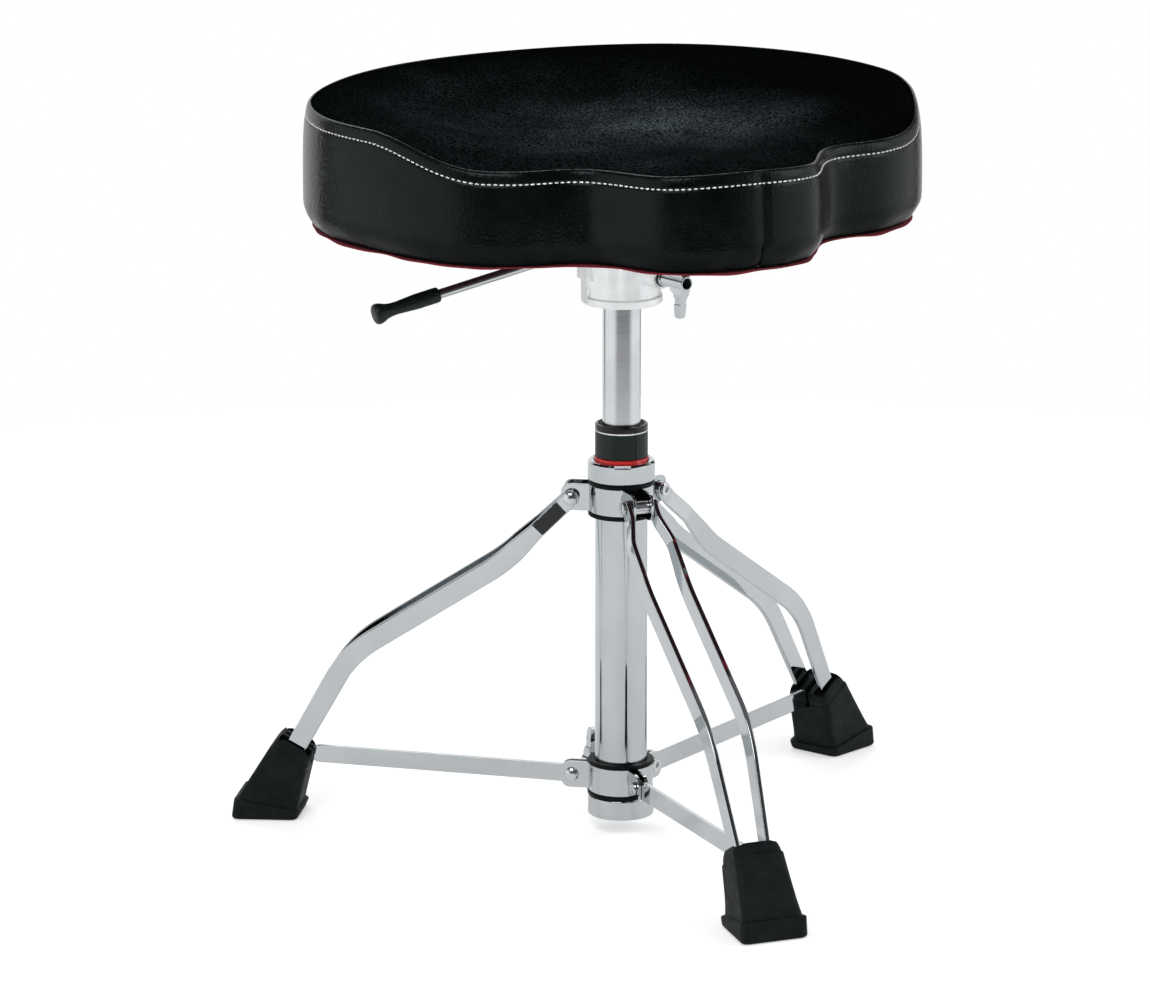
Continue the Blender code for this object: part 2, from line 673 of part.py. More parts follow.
def bolt_profile(outside):
    """Domed head at the top, socket end at the bottom, about the bolt's middle."""
    dome_base = outside + FIT
    dome = []
    for step in range(4):
        turn = math.pi / 2 * step / 3
        dome.append((BOLT_HEAD_RADIUS * math.sin(turn), dome_base + BOLT_HEAD_HEIGHT * math.cos(turn)))
    end_face = -dome_base - BOLT_SOCKET_HEIGHT
    rest = [
        (BOLT_RADIUS, dome_base),
        (BOLT_RADIUS, -dome_base),
        (BOLT_SOCKET_RADIUS, -dome_base),
        (BOLT_SOCKET_RADIUS, end_face),
        (0.0, end_face),
    ]
    return dome + rest


def add_pivot_bolt(name, frame, outside):
    bolt = add_turned(name, bolt_profile(outside), STEEL, frame, SMALL_STEPS, False, (0, 0, 0), ALONG_Y)
    end_face = -outside - FIT - BOLT_SOCKET_HEIGHT
    profile = pin_profile(BOLT_HEX_RADIUS, end_face - BOLT_HEX_DEPTH, end_face + BOLT_HEX_DEPTH)
    combine(bolt, add_turned_cutter(name + "_hex", profile, frame, 6, (0, 0, 0), ALONG_Y))


def build_band(prefix, frames, spool_bottom, pivot_reach, ear_outside, bolt_outside):
    """A spool bush, its three straps and the three pivot bolts; frames sit on the pivots."""
    spool = add_turned(prefix + "_bush", spool_profile(spool_bottom), BLACK_PLASTIC, STAND)
    straps = []
    outline = strap_outline(pivot_reach, ear_outside)
    middle = spool_bottom + SPOOL_HEIGHT / 2
    cutters = []
    for i, frame in enumerate(frames):
        name = f"{prefix}_ear_cut_{i + 1}"
        cutters.append(add_cutter(name, ear_cutter_mesh(name, ear_outside), frame, (0, 0, 0), UPRIGHT))
    for i, azimuth in enumerate(LEG_AZIMUTHS):
        name = f"{prefix}_strap_{i + 1}"
        mesh = flat_mesh(name, [outline], STRAP_HEIGHT)
        strap = add_part(name, mesh, CHROME, STAND, (0, 0, middle), (0, 0, azimuth))
        combine(strap, cutters[i])
        combine(strap, cutters[(i + 1) % 3])
        straps.append(strap)
    for i, frame in enumerate(frames):
        add_pivot_bolt(f"{prefix}_pivot_bolt_{i + 1}", frame, bolt_outside)
    return spool, straps


def bar_rows(side, extra):
    """Sections of one leg bar about its pivot; extra thickens it all round to make a socket."""
    corners = [
        (UPPER_PIVOT_REACH, BAR_EYE_OFFSET, UPPER_PIVOT_HEIGHT, BAR_EYE_WIDTH),
        (JOGGLE_START[0], BAR_EYE_OFFSET, JOGGLE_START[1], BAR_EYE_WIDTH),
        (JOGGLE_END[0], BAR_OFFSET, JOGGLE_END[1], BAR_EYE_WIDTH),
        (SHOULDER[0], BAR_OFFSET, SHOULDER[1], BAR_WIDTH),
        (KNEE[0], BAR_OFFSET, KNEE[1], BAR_WIDTH),
        (BAR_END[0], BAR_FOOT_OFFSET, BAR_END[1], BAR_FOOT_WIDTH),
    ]
    stations = rounded_path(corners, [JOGGLE_BEND, JOGGLE_BEND, SHOULDER_BEND, KNEE_BEND])
    first = (Vector(stations[1][:3]) - Vector(stations[0][:3])).normalized()
    eye = []
    for share in BAR_EYE_SHARES:
        centre = Vector(stations[0][:3]) - first * share * BAR_EYE_WIDTH / 2
        eye.append(Vector((*centre, BAR_EYE_WIDTH * math.sqrt(1 - share * share))))
    stations = eye + stations
    rows = []
    for i, station in enumerate(stations):
        before = Vector(stations[max(i - 1, 0)][:3])
        after = Vector(stations[min(i + 1, len(stations) - 1)][:3])
        along = (after - before).normalized()
        across = Vector((0.0, 1.0, 0.0))
        across = (across - along * across.dot(along)).normalized()
        upward = along.cross(across)
        half_width = upward * (station[3] / 2 + extra)
        half_thick = across * (BAR_THICKNESS / 2 + extra)
        centre = Vector(station[:3])
        if i == len(stations) - 1:
            centre += along * extra
        ring = [
            centre + half_width + half_thick,
            centre + half_width - half_thick,
            centre - half_width - half_thick,
            centre - half_width + half_thick,
        ]
        rows.append([(x - UPPER_PIVOT_REACH, side * y, z - UPPER_PIVOT_HEIGHT) for x, y, z in ring])
    return rows


def foot_rows():
    """Four-cornered sections from the sole up to the sloping rim, about the leg's pivot."""
    sole = FOOT_SOLE_ROUND
    step = FOOT_LIP_STEP
    inner_half = FOOT_INNER_HALF
    outer_half = FOOT_OUTER_HALF
    ledge_inner = (FOOT_LIP_INNER[0] + step, FOOT_LIP_INNER[1] + step)
    ledge_outer = (FOOT_LIP_OUTER[0] - step, FOOT_LIP_OUTER[1] + step)
    sole_inner = (FOOT_INNER_REACH + sole, 0.0)
    sole_outer = (FOOT_OUTER_REACH - sole, 0.0)
    levels = [
        (sole_inner, sole_outer, inner_half - sole, outer_half - sole),
        ((FOOT_INNER_REACH, sole), (FOOT_OUTER_REACH, sole), inner_half, outer_half),
        (FOOT_LIP_INNER, FOOT_LIP_OUTER, inner_half, outer_half),
        (ledge_inner, ledge_outer, inner_half - step, outer_half - step),
        (FOOT_SHOULDER_INNER, FOOT_SHOULDER_OUTER, FOOT_SHOULDER_HALF, FOOT_SHOULDER_HALF),
        (FOOT_RIM_INNER, FOOT_RIM_OUTER, FOOT_RIM_HALF, FOOT_RIM_HALF),
    ]
    rows = []
    for inner, outer, inner_width, outer_width in levels:
        inner = Vector(inner)
        outer = Vector(outer)
        length = (outer - inner).length
        corners = [(0.0, -inner_width), (length, -outer_width), (length, outer_width), (0.0, inner_width)]
        row = []
        for along, offset in rounded_outline(corners, FOOT_CORNER):
            reach, height = inner.lerp(outer, along / length)
            row.append((reach - UPPER_PIVOT_REACH, offset, height - UPPER_PIVOT_HEIGHT))
        rows.append(row)
    return rows


def rim_recess_mesh():
    """The shallow well in a boot's rim that the bars drop into."""
    inner = Vector(FOOT_RIM_INNER)
    outer = Vector(FOOT_RIM_OUTER)
    along = (outer - inner).normalized()
    up = Vector((-along[1], along[0]))
    half = FOOT_RIM_HALF - FOOT_RIM_LIP
    rows = []
    for depth in (-FOOT_RIM_RECESS, FOOT_RIM_RECESS):
        row = []
        for end, offset in ((inner - along * FOOT_RIM_LIP, -half), (outer - along * FOOT_RIM_LIP, -half),
                            (outer - along * FOOT_RIM_LIP, half), (inner - along * FOOT_RIM_LIP, half)):
            point = end + up * depth
            row.append((point[0] - UPPER_PIVOT_REACH, offset, point[1] - UPPER_PIVOT_HEIGHT))
        rows.append(row)
    return loft_mesh("rim_recess", rows)


def stay_slot_mesh():
    """The pocket in a boot that the stay's end lies in, open to the inner side and the rim."""
    outside = FOOT_RIM_INNER[0] - 4 * FOOT_RIM_RECESS
    corners = [
        (outside, STAY_SLOT_FLOOR),
        (STAY_SLOT_REACH, STAY_SLOT_FLOOR),
        (STAY_SLOT_REACH, STAY_SLOT_CORNER),
        (FOOT_RIM_INNER[0], STAY_SLOT_TOP),
        (outside, STAY_SLOT_TOP),
    ]
    rounded = rounded_outline(corners, STAY_THICKNESS)
    outline = [(x - UPPER_PIVOT_REACH, z - UPPER_PIVOT_HEIGHT) for x, z in rounded]
    return flat_mesh("stay_slot", [outline], STAY_THICKNESS + 2 * STAY_SLOT_SIDE)


def build_leg(index, frame):
    name = f"leg_{index}"
    hole = pin_profile(BOLT_HOLE_RADIUS, -2 * BAR_OFFSET, 2 * BAR_OFFSET)
    drill = add_turned_cutter(name + "_eye_drill", hole, frame, SMALL_STEPS, (0, 0, 0), ALONG_Y)
    boot = add_part(name + "_foot", loft_mesh(name + "_foot", foot_rows()), RUBBER, frame)
    combine(boot, add_cutter(name + "_rim_recess", rim_recess_mesh(), frame))
    combine(boot, add_cutter(name + "_stay_slot", stay_slot_mesh(), frame, (0, 0, 0), UPRIGHT))
    for letter, side in (("a", 1), ("b", -1)):
        bar = add_part(f"{name}_bar_{letter}", loft_mesh(name + "_bar", bar_rows(side, 0.0)), CHROME, frame)
        combine(bar, drill)
        socket = loft_mesh(name + "_bar_socket", bar_rows(side, FIT))
        combine(boot, add_cutter(f"{name}_bar_socket_{letter}", socket, frame))


def build_stay(index, frame):
    """A flat bar with a round eye at the collar; its outline is drawn about the collar pivot."""
    end = Vector((STAY_END[0] - LOWER_PIVOT_REACH, STAY_END[1] - LOWER_PIVOT_HEIGHT))
    along = end.normalized()
    up = Vector((-along[1], along[0]))
    half = STAY_HEIGHT / 2
    tip = end - along * half
    outline = []
    for step in range(9):
        turn = math.pi / 2 - math.pi * step / 8
        outline.append(tuple(tip + along * half * math.cos(turn) + up * half * math.sin(turn)))
    for step in range(9):
        turn = -math.pi / 2 - math.pi * step / 8
        outline.append(tuple(along * half * math.cos(turn) + up * half * math.sin(turn)))
    hole = circle(BOLT_HOLE_RADIUS, SMALL_STEPS)
    mesh = flat_mesh(f"stay_{index}", [outline, hole], STAY_THICKNESS)
    add_part(f"stay_{index}", mesh, CHROME, frame, (0, 0, 0), UPRIGHT)


def build_tripod():
    upper_frames = []
    lower_frames = []
    for i, azimuth in enumerate(LEG_AZIMUTHS):
        way = (math.cos(azimuth), math.sin(azimuth))
        upper_at = (way[0] * UPPER_PIVOT_REACH, way[1] * UPPER_PIVOT_REACH, UPPER_PIVOT_HEIGHT)
        lower_at = (way[0] * LOWER_PIVOT_REACH, way[1] * LOWER_PIVOT_REACH, LOWER_PIVOT_HEIGHT)
        upper_frames.append(add_empty(f"leg_{i + 1}_pivot", upper_at, azimuth, STAND))
        lower_frames.append(add_empty(f"stay_{i + 1}_pivot", lower_at, azimuth, STAND))
    bar_outside = BAR_EYE_OFFSET + BAR_THICKNESS / 2
    build_band("upper", upper_frames, UPPER_SPOOL_BOTTOM, UPPER_PIVOT_REACH, UPPER_EAR_OUTSIDE, bar_outside)
    spool, straps = build_band(
        "lower", lower_frames, LOWER_SPOOL_BOTTOM, LOWER_PIVOT_REACH, LOWER_EAR_OUTSIDE, LOWER_EAR_OUTSIDE
    )
    spacer_half = UPPER_EAR_OUTSIDE - STRAP_THICKNESS - FIT
    spacer = ring_profile(BOLT_HOLE_RADIUS + SPACER_WALL, BOLT_HOLE_RADIUS, -spacer_half, spacer_half)
    for i, frame in enumerate(upper_frames):
        add_turned(f"upper_spacer_{i + 1}", spacer, STEEL, frame, SMALL_STEPS, True, (0, 0, 0), ALONG_Y)
        build_leg(i + 1, frame)
    for i, frame in enumerate(lower_frames):
        build_stay(i + 1, frame)
    build_lock(spool, straps[1])


def wing_rows(side, end):
    """Sections of one wing from inside the boss to its tip, swept back from the boss's end."""
    span = WING_SPAN
    tip_front = WING_SWEEP
    tip_back = WING_SWEEP + 0.85 * WING_DEPTH
    neck_back = WING_SWEEP / 2 + WING_DEPTH + WING_GROOVE
    full = WING_HALF_WIDTH
    slim = (WING_HALF_WIDTH + WING_TIP_HALF_WIDTH) / 2
    stations = [
        (0.0, FIT, WING_NECK_DEPTH, 0.75 * full),
        (WING_BOSS_RADIUS, 0.20 * WING_SWEEP, 0.95 * WING_NECK_DEPTH, 0.90 * full),
        (0.26 * span, 0.35 * WING_SWEEP, (neck_back + WING_NECK_DEPTH) / 2, full),
        (0.33 * span, 0.55 * WING_SWEEP, neck_back, full),
        (0.42 * span, 0.70 * WING_SWEEP, neck_back, full - WING_GROOVE / 4),
        (0.43 * span, 0.70 * WING_SWEEP, neck_back, full - 1.25 * WING_GROOVE),
        (0.60 * span, 0.85 * WING_SWEEP, neck_back + WING_GROOVE / 4, slim - WING_GROOVE),
        (0.61 * span, 0.85 * WING_SWEEP, neck_back + WING_GROOVE / 4, slim),
        (0.94 * span, tip_front, tip_back, WING_TIP_HALF_WIDTH),
        (span, tip_front + WING_GROOVE, tip_back - WING_GROOVE, WING_TIP_HALF_WIDTH - WING_GROOVE),
    ]
    rows = []
    for rise, front, back, half in stations:
        corners = [(end - front, half), (end - back, half), (end - back, -half), (end - front, -half)]
        rows.append([(x, y, side * rise) for x, y in corners])
    return rows


def add_wing_screw(name, frame, tip_reach, boss_reach, boss_length):
    """A two-winged screw along the frame's +X, with its threaded tip at tip_reach."""
    end = boss_reach + boss_length
    flange_end = boss_reach + WING_FLANGE_THICKNESS
    profile = [
        (0.0, end),
        (WING_BOSS_RADIUS, end),
        (WING_BOSS_RADIUS, flange_end),
        (WING_FLANGE_RADIUS, flange_end),
        (WING_FLANGE_RADIUS, boss_reach),
        (WING_THREAD_RADIUS, boss_reach),
        (WING_THREAD_RADIUS, tip_reach),
        (0.0, tip_reach),
    ]
    screw = add_turned(name, profile, CHROME, frame, SMALL_STEPS, False, (0, 0, 0), ALONG_X)
    for side, label in ((1, "up"), (-1, "down")):
        wing = loft_mesh(name + "_wing", wing_rows(side, end))
        combine(screw, add_cutter(f"{name}_wing_{label}", wing, frame), "UNION")
    bore = pin_profile(WING_BORE_RADIUS, end - WING_BORE_DEPTH, end + WING_BORE_DEPTH)
    combine(screw, add_turned_cutter(name + "_bore", bore, frame, SMALL_STEPS, (0, 0, 0), ALONG_X))


def build_lock(spool, strap):
    """Wing screw that locks the sliding collar to the tube, through a lug on one strap."""
    frame = add_empty("lock_screw_axis", (0.0, 0.0, LOWER_PIVOT_HEIGHT), LOCK_AZIMUTH, STAND)
    lug_start = (STRAP_INNER_RADIUS + STRAP_OUTER_RADIUS) / 2
    lug = pin_profile(LUG_RADIUS, lug_start, LOCK_LUG_REACH)
    combine(strap, add_turned_cutter("lock_lug", lug, frame, SMALL_STEPS, (0, 0, 0), ALONG_X), "UNION")
    hole = pin_profile(WING_THREAD_RADIUS + FIT, TUBE_RADIUS - FIT, LOCK_LUG_REACH + LUG_RADIUS)
    drill = add_turned_cutter("lock_drill", hole, frame, SMALL_STEPS, (0, 0, 0), ALONG_X)
    combine(strap, drill)
    combine(spool, drill)
    add_wing_screw("lock_screw", frame, TUBE_RADIUS + FIT, LOCK_LUG_REACH + FIT, LOCK_BOSS_LENGTH)


def build_hub():
    flange_top = HUB_BOTTOM + HUB_FLANGE_HEIGHT
    bore = CYLINDER_RADIUS + FIT
    profile = [
        (HUB_PLATE_RADIUS, HUB_TOP),
        (HUB_PLATE_RADIUS, HUB_PLATE_BOTTOM + EDGE_ROUND),
        (HUB_PLATE_RADIUS - EDGE_ROUND, HUB_PLATE_BOTTOM),
        (HUB_RADIUS + EDGE_ROUND, HUB_PLATE_BOTTOM),
        (HUB_RADIUS, HUB_PLATE_BOTTOM - EDGE_ROUND),
        (HUB_RADIUS, flange_top),
        (HUB_FLANGE_RADIUS - EDGE_ROUND / 2, flange_top),
        (HUB_FLANGE_RADIUS, flange_top - EDGE_ROUND / 2),
        (HUB_FLANGE_RADIUS, HUB_BOTTOM + EDGE_ROUND),
        (HUB_FLANGE_RADIUS - EDGE_ROUND, HUB_BOTTOM),
        (bore, HUB_BOTTOM),
        (bore, HUB_TOP),
    ]
    hub = add_turned("seat_hub", profile, CAST, SEAT)
    wall = (HUB_RADIUS + bore) / 2
    boss_top = HUB_PLATE_BOTTOM + HUB_PLATE_HEIGHT / 2
    low = (-LEVER_BOSS_REACH, -LEVER_BOSS_HALF, LEVER_BOSS_BOTTOM)
    high = (-wall, LEVER_BOSS_HALF, boss_top)
    combine(hub, add_cutter("lever_boss", box_mesh("lever_boss", low, high), SEAT), "UNION")
    low = (-LEVER_RIB_REACH, -LEVER_RIB_HALF, flange_top - HUB_FLANGE_HEIGHT / 2)
    high = (-wall, LEVER_RIB_HALF, LEVER_BOSS_BOTTOM + EDGE_ROUND)
    combine(hub, add_cutter("lever_rib", box_mesh("lever_rib", low, high), SEAT), "UNION")

    frame = add_empty("clamp_screw_axis", (0.0, 0.0, CLAMP_HEIGHT), CLAMP_AZIMUTH, SEAT)
    lug = pin_profile(LUG_RADIUS, wall, CLAMP_LUG_REACH)
    combine(hub, add_turned_cutter("clamp_lug", lug, frame, SMALL_STEPS, (0, 0, 0), ALONG_X), "UNION")
    hole = pin_profile(WING_THREAD_RADIUS + FIT, CYLINDER_RADIUS / 2, CLAMP_LUG_REACH + LUG_RADIUS)
    combine(hub, add_turned_cutter("clamp_drill", hole, frame, SMALL_STEPS, (0, 0, 0), ALONG_X))
    washer_start = CLAMP_LUG_REACH + FIT
    washer_end = washer_start + WASHER_THICKNESS
    washer = ring_profile(WASHER_RADIUS, WING_THREAD_RADIUS + FIT, washer_start, washer_end)
    add_turned("clamp_washer", washer, BLACK_PLASTIC, frame, SMALL_STEPS, True, (0, 0, 0), ALONG_X)
    add_wing_screw("clamp_screw", frame, CYLINDER_RADIUS + FIT, washer_end + FIT, CLAMP_BOSS_LENGTH)
    return hub


def build_lever(hub):
    pivot = (-LEVER_PIVOT_REACH, 0.0, LEVER_PIVOT_HEIGHT)
    frame = add_empty("lever_pivot", pivot, 0.0, SEAT)
    slot_half = LEVER_RADIUS + LEVER_SLOT_SIDE
    low = (-2 * LEVER_BOSS_REACH + LEVER_PIVOT_REACH, -slot_half, -LEVER_RADIUS - LEVER_SLOT_BELOW)
    high = (LEVER_PIVOT_REACH, slot_half, LEVER_SLOT_ABOVE)
    combine(hub, add_cutter("lever_slot", box_mesh("lever_slot", low, high), frame))
    hole = pin_profile(LEVER_PIN_RADIUS + FIT, -2 * LEVER_PIN_HALF, 2 * LEVER_PIN_HALF)
    drill = add_turned_cutter("lever_drill", hole, frame, SMALL_STEPS, (0, 0, 0), ALONG_Y)
    combine(hub, drill)
    pin = pin_profile(LEVER_PIN_RADIUS, -LEVER_PIN_HALF, LEVER_PIN_HALF)
    add_turned("lever_pin", pin, STEEL, frame, SMALL_STEPS, False, (0, 0, 0), ALONG_Y)

    outward = (0.0, -math.pi / 2 - LEVER_SLOPE, 0.0)
    rod = pin_profile(LEVER_RADIUS, -LEVER_INNER_LENGTH, LEVER_OUTER_LENGTH + LEVER_IN_GRIP)
    rod_part = add_turned("lever_rod", rod, CHROME, frame, SMALL_STEPS, False, (0, 0, 0), outward)
    combine(rod_part, drill)
    start = LEVER_OUTER_LENGTH
    end = start + GRIP_LENGTH
    bore_end = start + LEVER_IN_GRIP + FIT
    grip = [
        (0.0, end),
        (GRIP_END_RADIUS - EDGE_ROUND, end),
        (GRIP_END_RADIUS, end - EDGE_ROUND),
        (GRIP_END_RADIUS - EDGE_ROUND / 2, end - GRIP_LENGTH * 0.09),
        (GRIP_WAIST_RADIUS + EDGE_ROUND / 2, end - GRIP_LENGTH * 0.20),
        (GRIP_WAIST_RADIUS, end - GRIP_LENGTH * 0.32),
        (GRIP_RADIUS, start + GRIP_LENGTH * 0.40),
        (GRIP_RADIUS, start + EDGE_ROUND),
        (GRIP_RADIUS - EDGE_ROUND / 2, start),
        (LEVER_RADIUS + FIT, start),
        (LEVER_RADIUS + FIT, bore_end),
        (0.0, bore_end),
    ]
    add_turned("lever_grip", grip, BLACK_PLASTIC, frame, SMALL_STEPS, False, (0, 0, 0), outward)


def seat_outline():
    """Points evenly spread on a smooth closed curve through the seat's half outline and its mirror."""
    half = [
        (0.0, SEAT_NOSE_REACH),
        (SEAT_NOSE_HALF, SEAT_NOSE_SHOULDER),
        (SEAT_NOTCH_HALF, SEAT_NOTCH_REACH),
        (SEAT_THIGH_HALF, SEAT_THIGH_REACH),
        (SEAT_LOBE_HALF, SEAT_LOBE_REACH),
        (SEAT_HIP_HALF, SEAT_HIP_REACH),
        (SEAT_HALF_WIDTH, SEAT_WIDEST_REACH),
        (SEAT_REAR_HALF, SEAT_REAR_REACH),
        (SEAT_TAIL_HALF, SEAT_TAIL_REACH),
        (SEAT_BACK_HALF, SEAT_BACK_SHOULDER),
        (0.0, -SEAT_BACK_REACH),
    ]
    knots = [Vector((side, -reach)) for side, reach in half]
    knots += [Vector((-point[0], point[1])) for point in reversed(knots[1:-1])]
    count = len(knots)
    dense = []
    for i in range(count):
        p0, p1, p2, p3 = (knots[(i + k - 1) % count] for k in range(4))
        for step in range(24):
            t = step / 24
            bend = (2 * p0 - 5 * p1 + 4 * p2 - p3) * t * t + (3 * p1 - p0 - 3 * p2 + p3) * t ** 3
            dense.append(p1 + ((p2 - p0) * t + bend) / 2)
    lengths = [0.0]
    for first, second in zip(dense, dense[1:] + dense[:1]):
        lengths.append(lengths[-1] + (second - first).length)
    dense.append(dense[0])
    points = []
    for i in range(SEAT_OUTLINE_STEPS):
        wanted = lengths[-1] * i / SEAT_OUTLINE_STEPS
        k = max(j for j, length in enumerate(lengths[:-1]) if length <= wanted)
        share = (wanted - lengths[k]) / (lengths[k + 1] - lengths[k])
        points.append(dense[k].lerp(dense[k + 1], share))
    return points


def outward_ways(points):
    ways = []
    for i in range(len(points)):
        along = points[(i + 1) % len(points)] - points[i - 1]
        ways.append(Vector((along[1], -along[0])).normalized())
    if sum(way.dot(point) for way, point in zip(ways, points)) < 0:
        ways = [-way for way in ways]
    return ways


def smooth_step(low, high, value):
    share = min(max((value - low) / (high - low), 0.0), 1.0)
    return share * share * (3 - 2 * share)


def rim_height(point):
    """Rim height over the underside: low along the front, stepping up at the hips, highest at the back."""
    turn = math.atan2(abs(point[0]), -point[1])
    height = SEAT_FRONT_HEIGHT + SEAT_NOSE_LIFT * (1 - smooth_step(0.0, SEAT_NOSE_TURN, turn))
    height += (SEAT_HIP_HEIGHT - SEAT_FRONT_HEIGHT) * smooth_step(*SEAT_HIP_TURNS, turn)
    return height + (SEAT_BACK_HEIGHT - SEAT_HIP_HEIGHT) * smooth_step(*SEAT_BACK_TURNS, turn)


def build_seat():
    points = seat_outline()
    ways = outward_ways(points)
    heights = [rim_height(point) for point in points]

    def row(inset, lift):
        """A ring at one inset, its heights given by lift(rim height)."""
        ring = []
        for point, way, height in zip(points, ways, heights):
            x, y = point - way * inset
            ring.append((x, y, SEAT_UNDERSIDE + lift(height)))
        return ring

    def top_row(share, inset, sink):
        """A ring of the dished top, drawn in towards the middle by share."""
        ring = []
        away = 1 - share
        for point, way, height in zip(points, ways, heights):
            x, y = (point - way * inset) * share
            dish = SEAT_DISH_HEIGHT + (height - SEAT_DISH_HEIGHT) * share ** SEAT_DISH_POWER
            crown = SEAT_CROWN * math.sin(math.pi * min(away / SEAT_CROWN_SHARE, 1.0))
            ring.append((x, y, SEAT_UNDERSIDE + dish + crown - sink))
        return ring

    side_levels = [
        (SEAT_FOOT_INSET, SEAT_FOOT_SHARE),
        (SEAT_FOOT_INSET / 4, SEAT_TUCK_SHARE),
        (0.0, SEAT_BELLY),
        (SEAT_RIM_INSET / 4, SEAT_LEAN_SHARE),
    ]

    def side_rows(extra, foot_gap, top_gap):
        """Rings up the bulging side, set in by extra."""
        rows = []
        for inset, share in side_levels:
            rows.append(row(inset + extra, lambda h, s=share: foot_gap + (h - foot_gap - top_gap) * s))
        rows.append(row(SEAT_RIM_INSET + extra, lambda h: h - top_gap))
        return rows

    skin = COVER_THICKNESS
    outer = side_rows(0.0, FIT, 0.0)
    inner = side_rows(skin, FIT, 0.0)
    side = loft_mesh("side_cover", outer + inner[::-1], closed=True)
    add_part("side_cover", side, VINYL, SEAT)

    edge = SEAT_RIM_INSET + skin + FIT
    shares = SEAT_TOP_SHARES
    middle = (0.0, 0.0, SEAT_UNDERSIDE + SEAT_DISH_HEIGHT)
    upper = [top_row(share, edge, 0.0) for share in shares]
    under = [top_row(share, edge, skin) for share in shares]
    top = [[middle]] + upper[::-1] + under + [[(0.0, 0.0, middle[2] - skin)]]
    add_part("top_cover", loft_mesh("top_cover", top), CLOTH, SEAT)

    gap = skin + FIT
    board_gap = BOARD_TOP - SEAT_UNDERSIDE + FIT
    foam_side = []
    for ring in side_rows(gap, 0.0, gap)[2:]:
        foam_side.append([(x, y, max(z, SEAT_UNDERSIDE + board_gap)) for x, y, z in ring])
    foot = row(SEAT_FOOT_INSET / 4 + gap, lambda h: board_gap)
    foam_top = [top_row(share, edge, gap) for share in shares[1:]]
    foam = [foot] + foam_side + foam_top + [[(0.0, 0.0, middle[2] - gap)]]
    add_part("foam_pad", loft_mesh("foam_pad", foam), FOAM, SEAT)

    drill = hub_bolt_drill()
    board = [
        row(BOARD_INSET, lambda h: BOARD_BOTTOM - SEAT_UNDERSIDE),
        row(BOARD_INSET, lambda h: BOARD_TOP - SEAT_UNDERSIDE),
    ]
    board_part = add_part("seat_board", loft_mesh("seat_board", board), PLYWOOD, SEAT)
    combine(board_part, drill)
    lining = [row(UNDERSIDE_INSET, lambda h: -UNDERSIDE_THICKNESS), row(UNDERSIDE_INSET, lambda h: 0.0)]
    lining_part = add_part("underside_cover", loft_mesh("underside_cover", lining), LINING, SEAT)
    combine(lining_part, drill)
    return drill


def hub_bolt_places():
    return [(HUB_BOLT_CIRCLE * math.cos(a), HUB_BOLT_CIRCLE * math.sin(a)) for a in HUB_BOLT_AZIMUTHS]


def hub_bolt_drill():
    holes = [circle(HUB_BOLT_RADIUS + FIT, 12, place) for place in hub_bolt_places()]
    bottom = HUB_PLATE_BOTTOM - HUB_PLATE_HEIGHT
    top = SEAT_UNDERSIDE + HUB_BOLT_REACH + FIT
    mesh = flat_mesh("hub_bolt_drill", holes, top - bottom)
    return add_cutter("hub_bolt_drill", mesh, SEAT, (0, 0, (top + bottom) / 2))


def build_hub_bolts():
    head_top = HUB_PLATE_BOTTOM - FIT
    head_bottom = head_top - HUB_BOLT_HEAD_HEIGHT
    top = SEAT_UNDERSIDE + HUB_BOLT_REACH
    profile = [
        (0.0, top),
        (HUB_BOLT_RADIUS, top),
        (HUB_BOLT_RADIUS, head_top),
        (HUB_BOLT_HEAD_RADIUS, head_top),
        (HUB_BOLT_HEAD_RADIUS, head_bottom),
        (0.0, head_bottom),
    ]
    for i, (x, y) in enumerate(hub_bolt_places()):
        add_turned(f"hub_bolt_{i + 1}", profile, STEEL, SEAT, 12, False, (x, y, 0.0))


build_column()
build_gas_lift()
build_tripod()
HUB = build_hub()
build_lever(HUB)
combine(HUB, build_seat())
build_hub_bolts()
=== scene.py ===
"""Looks of the drum throne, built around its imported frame.

Units are metres and +Z is up, in the frame's own axes.  Round pieces are turned again with more sides, bars
and straps get rounded edges, and the seat is sewn from its covers over the foam.
"""

import json
import math

import bmesh
import bpy
import numpy as np
from mathutils import Matrix, Vector

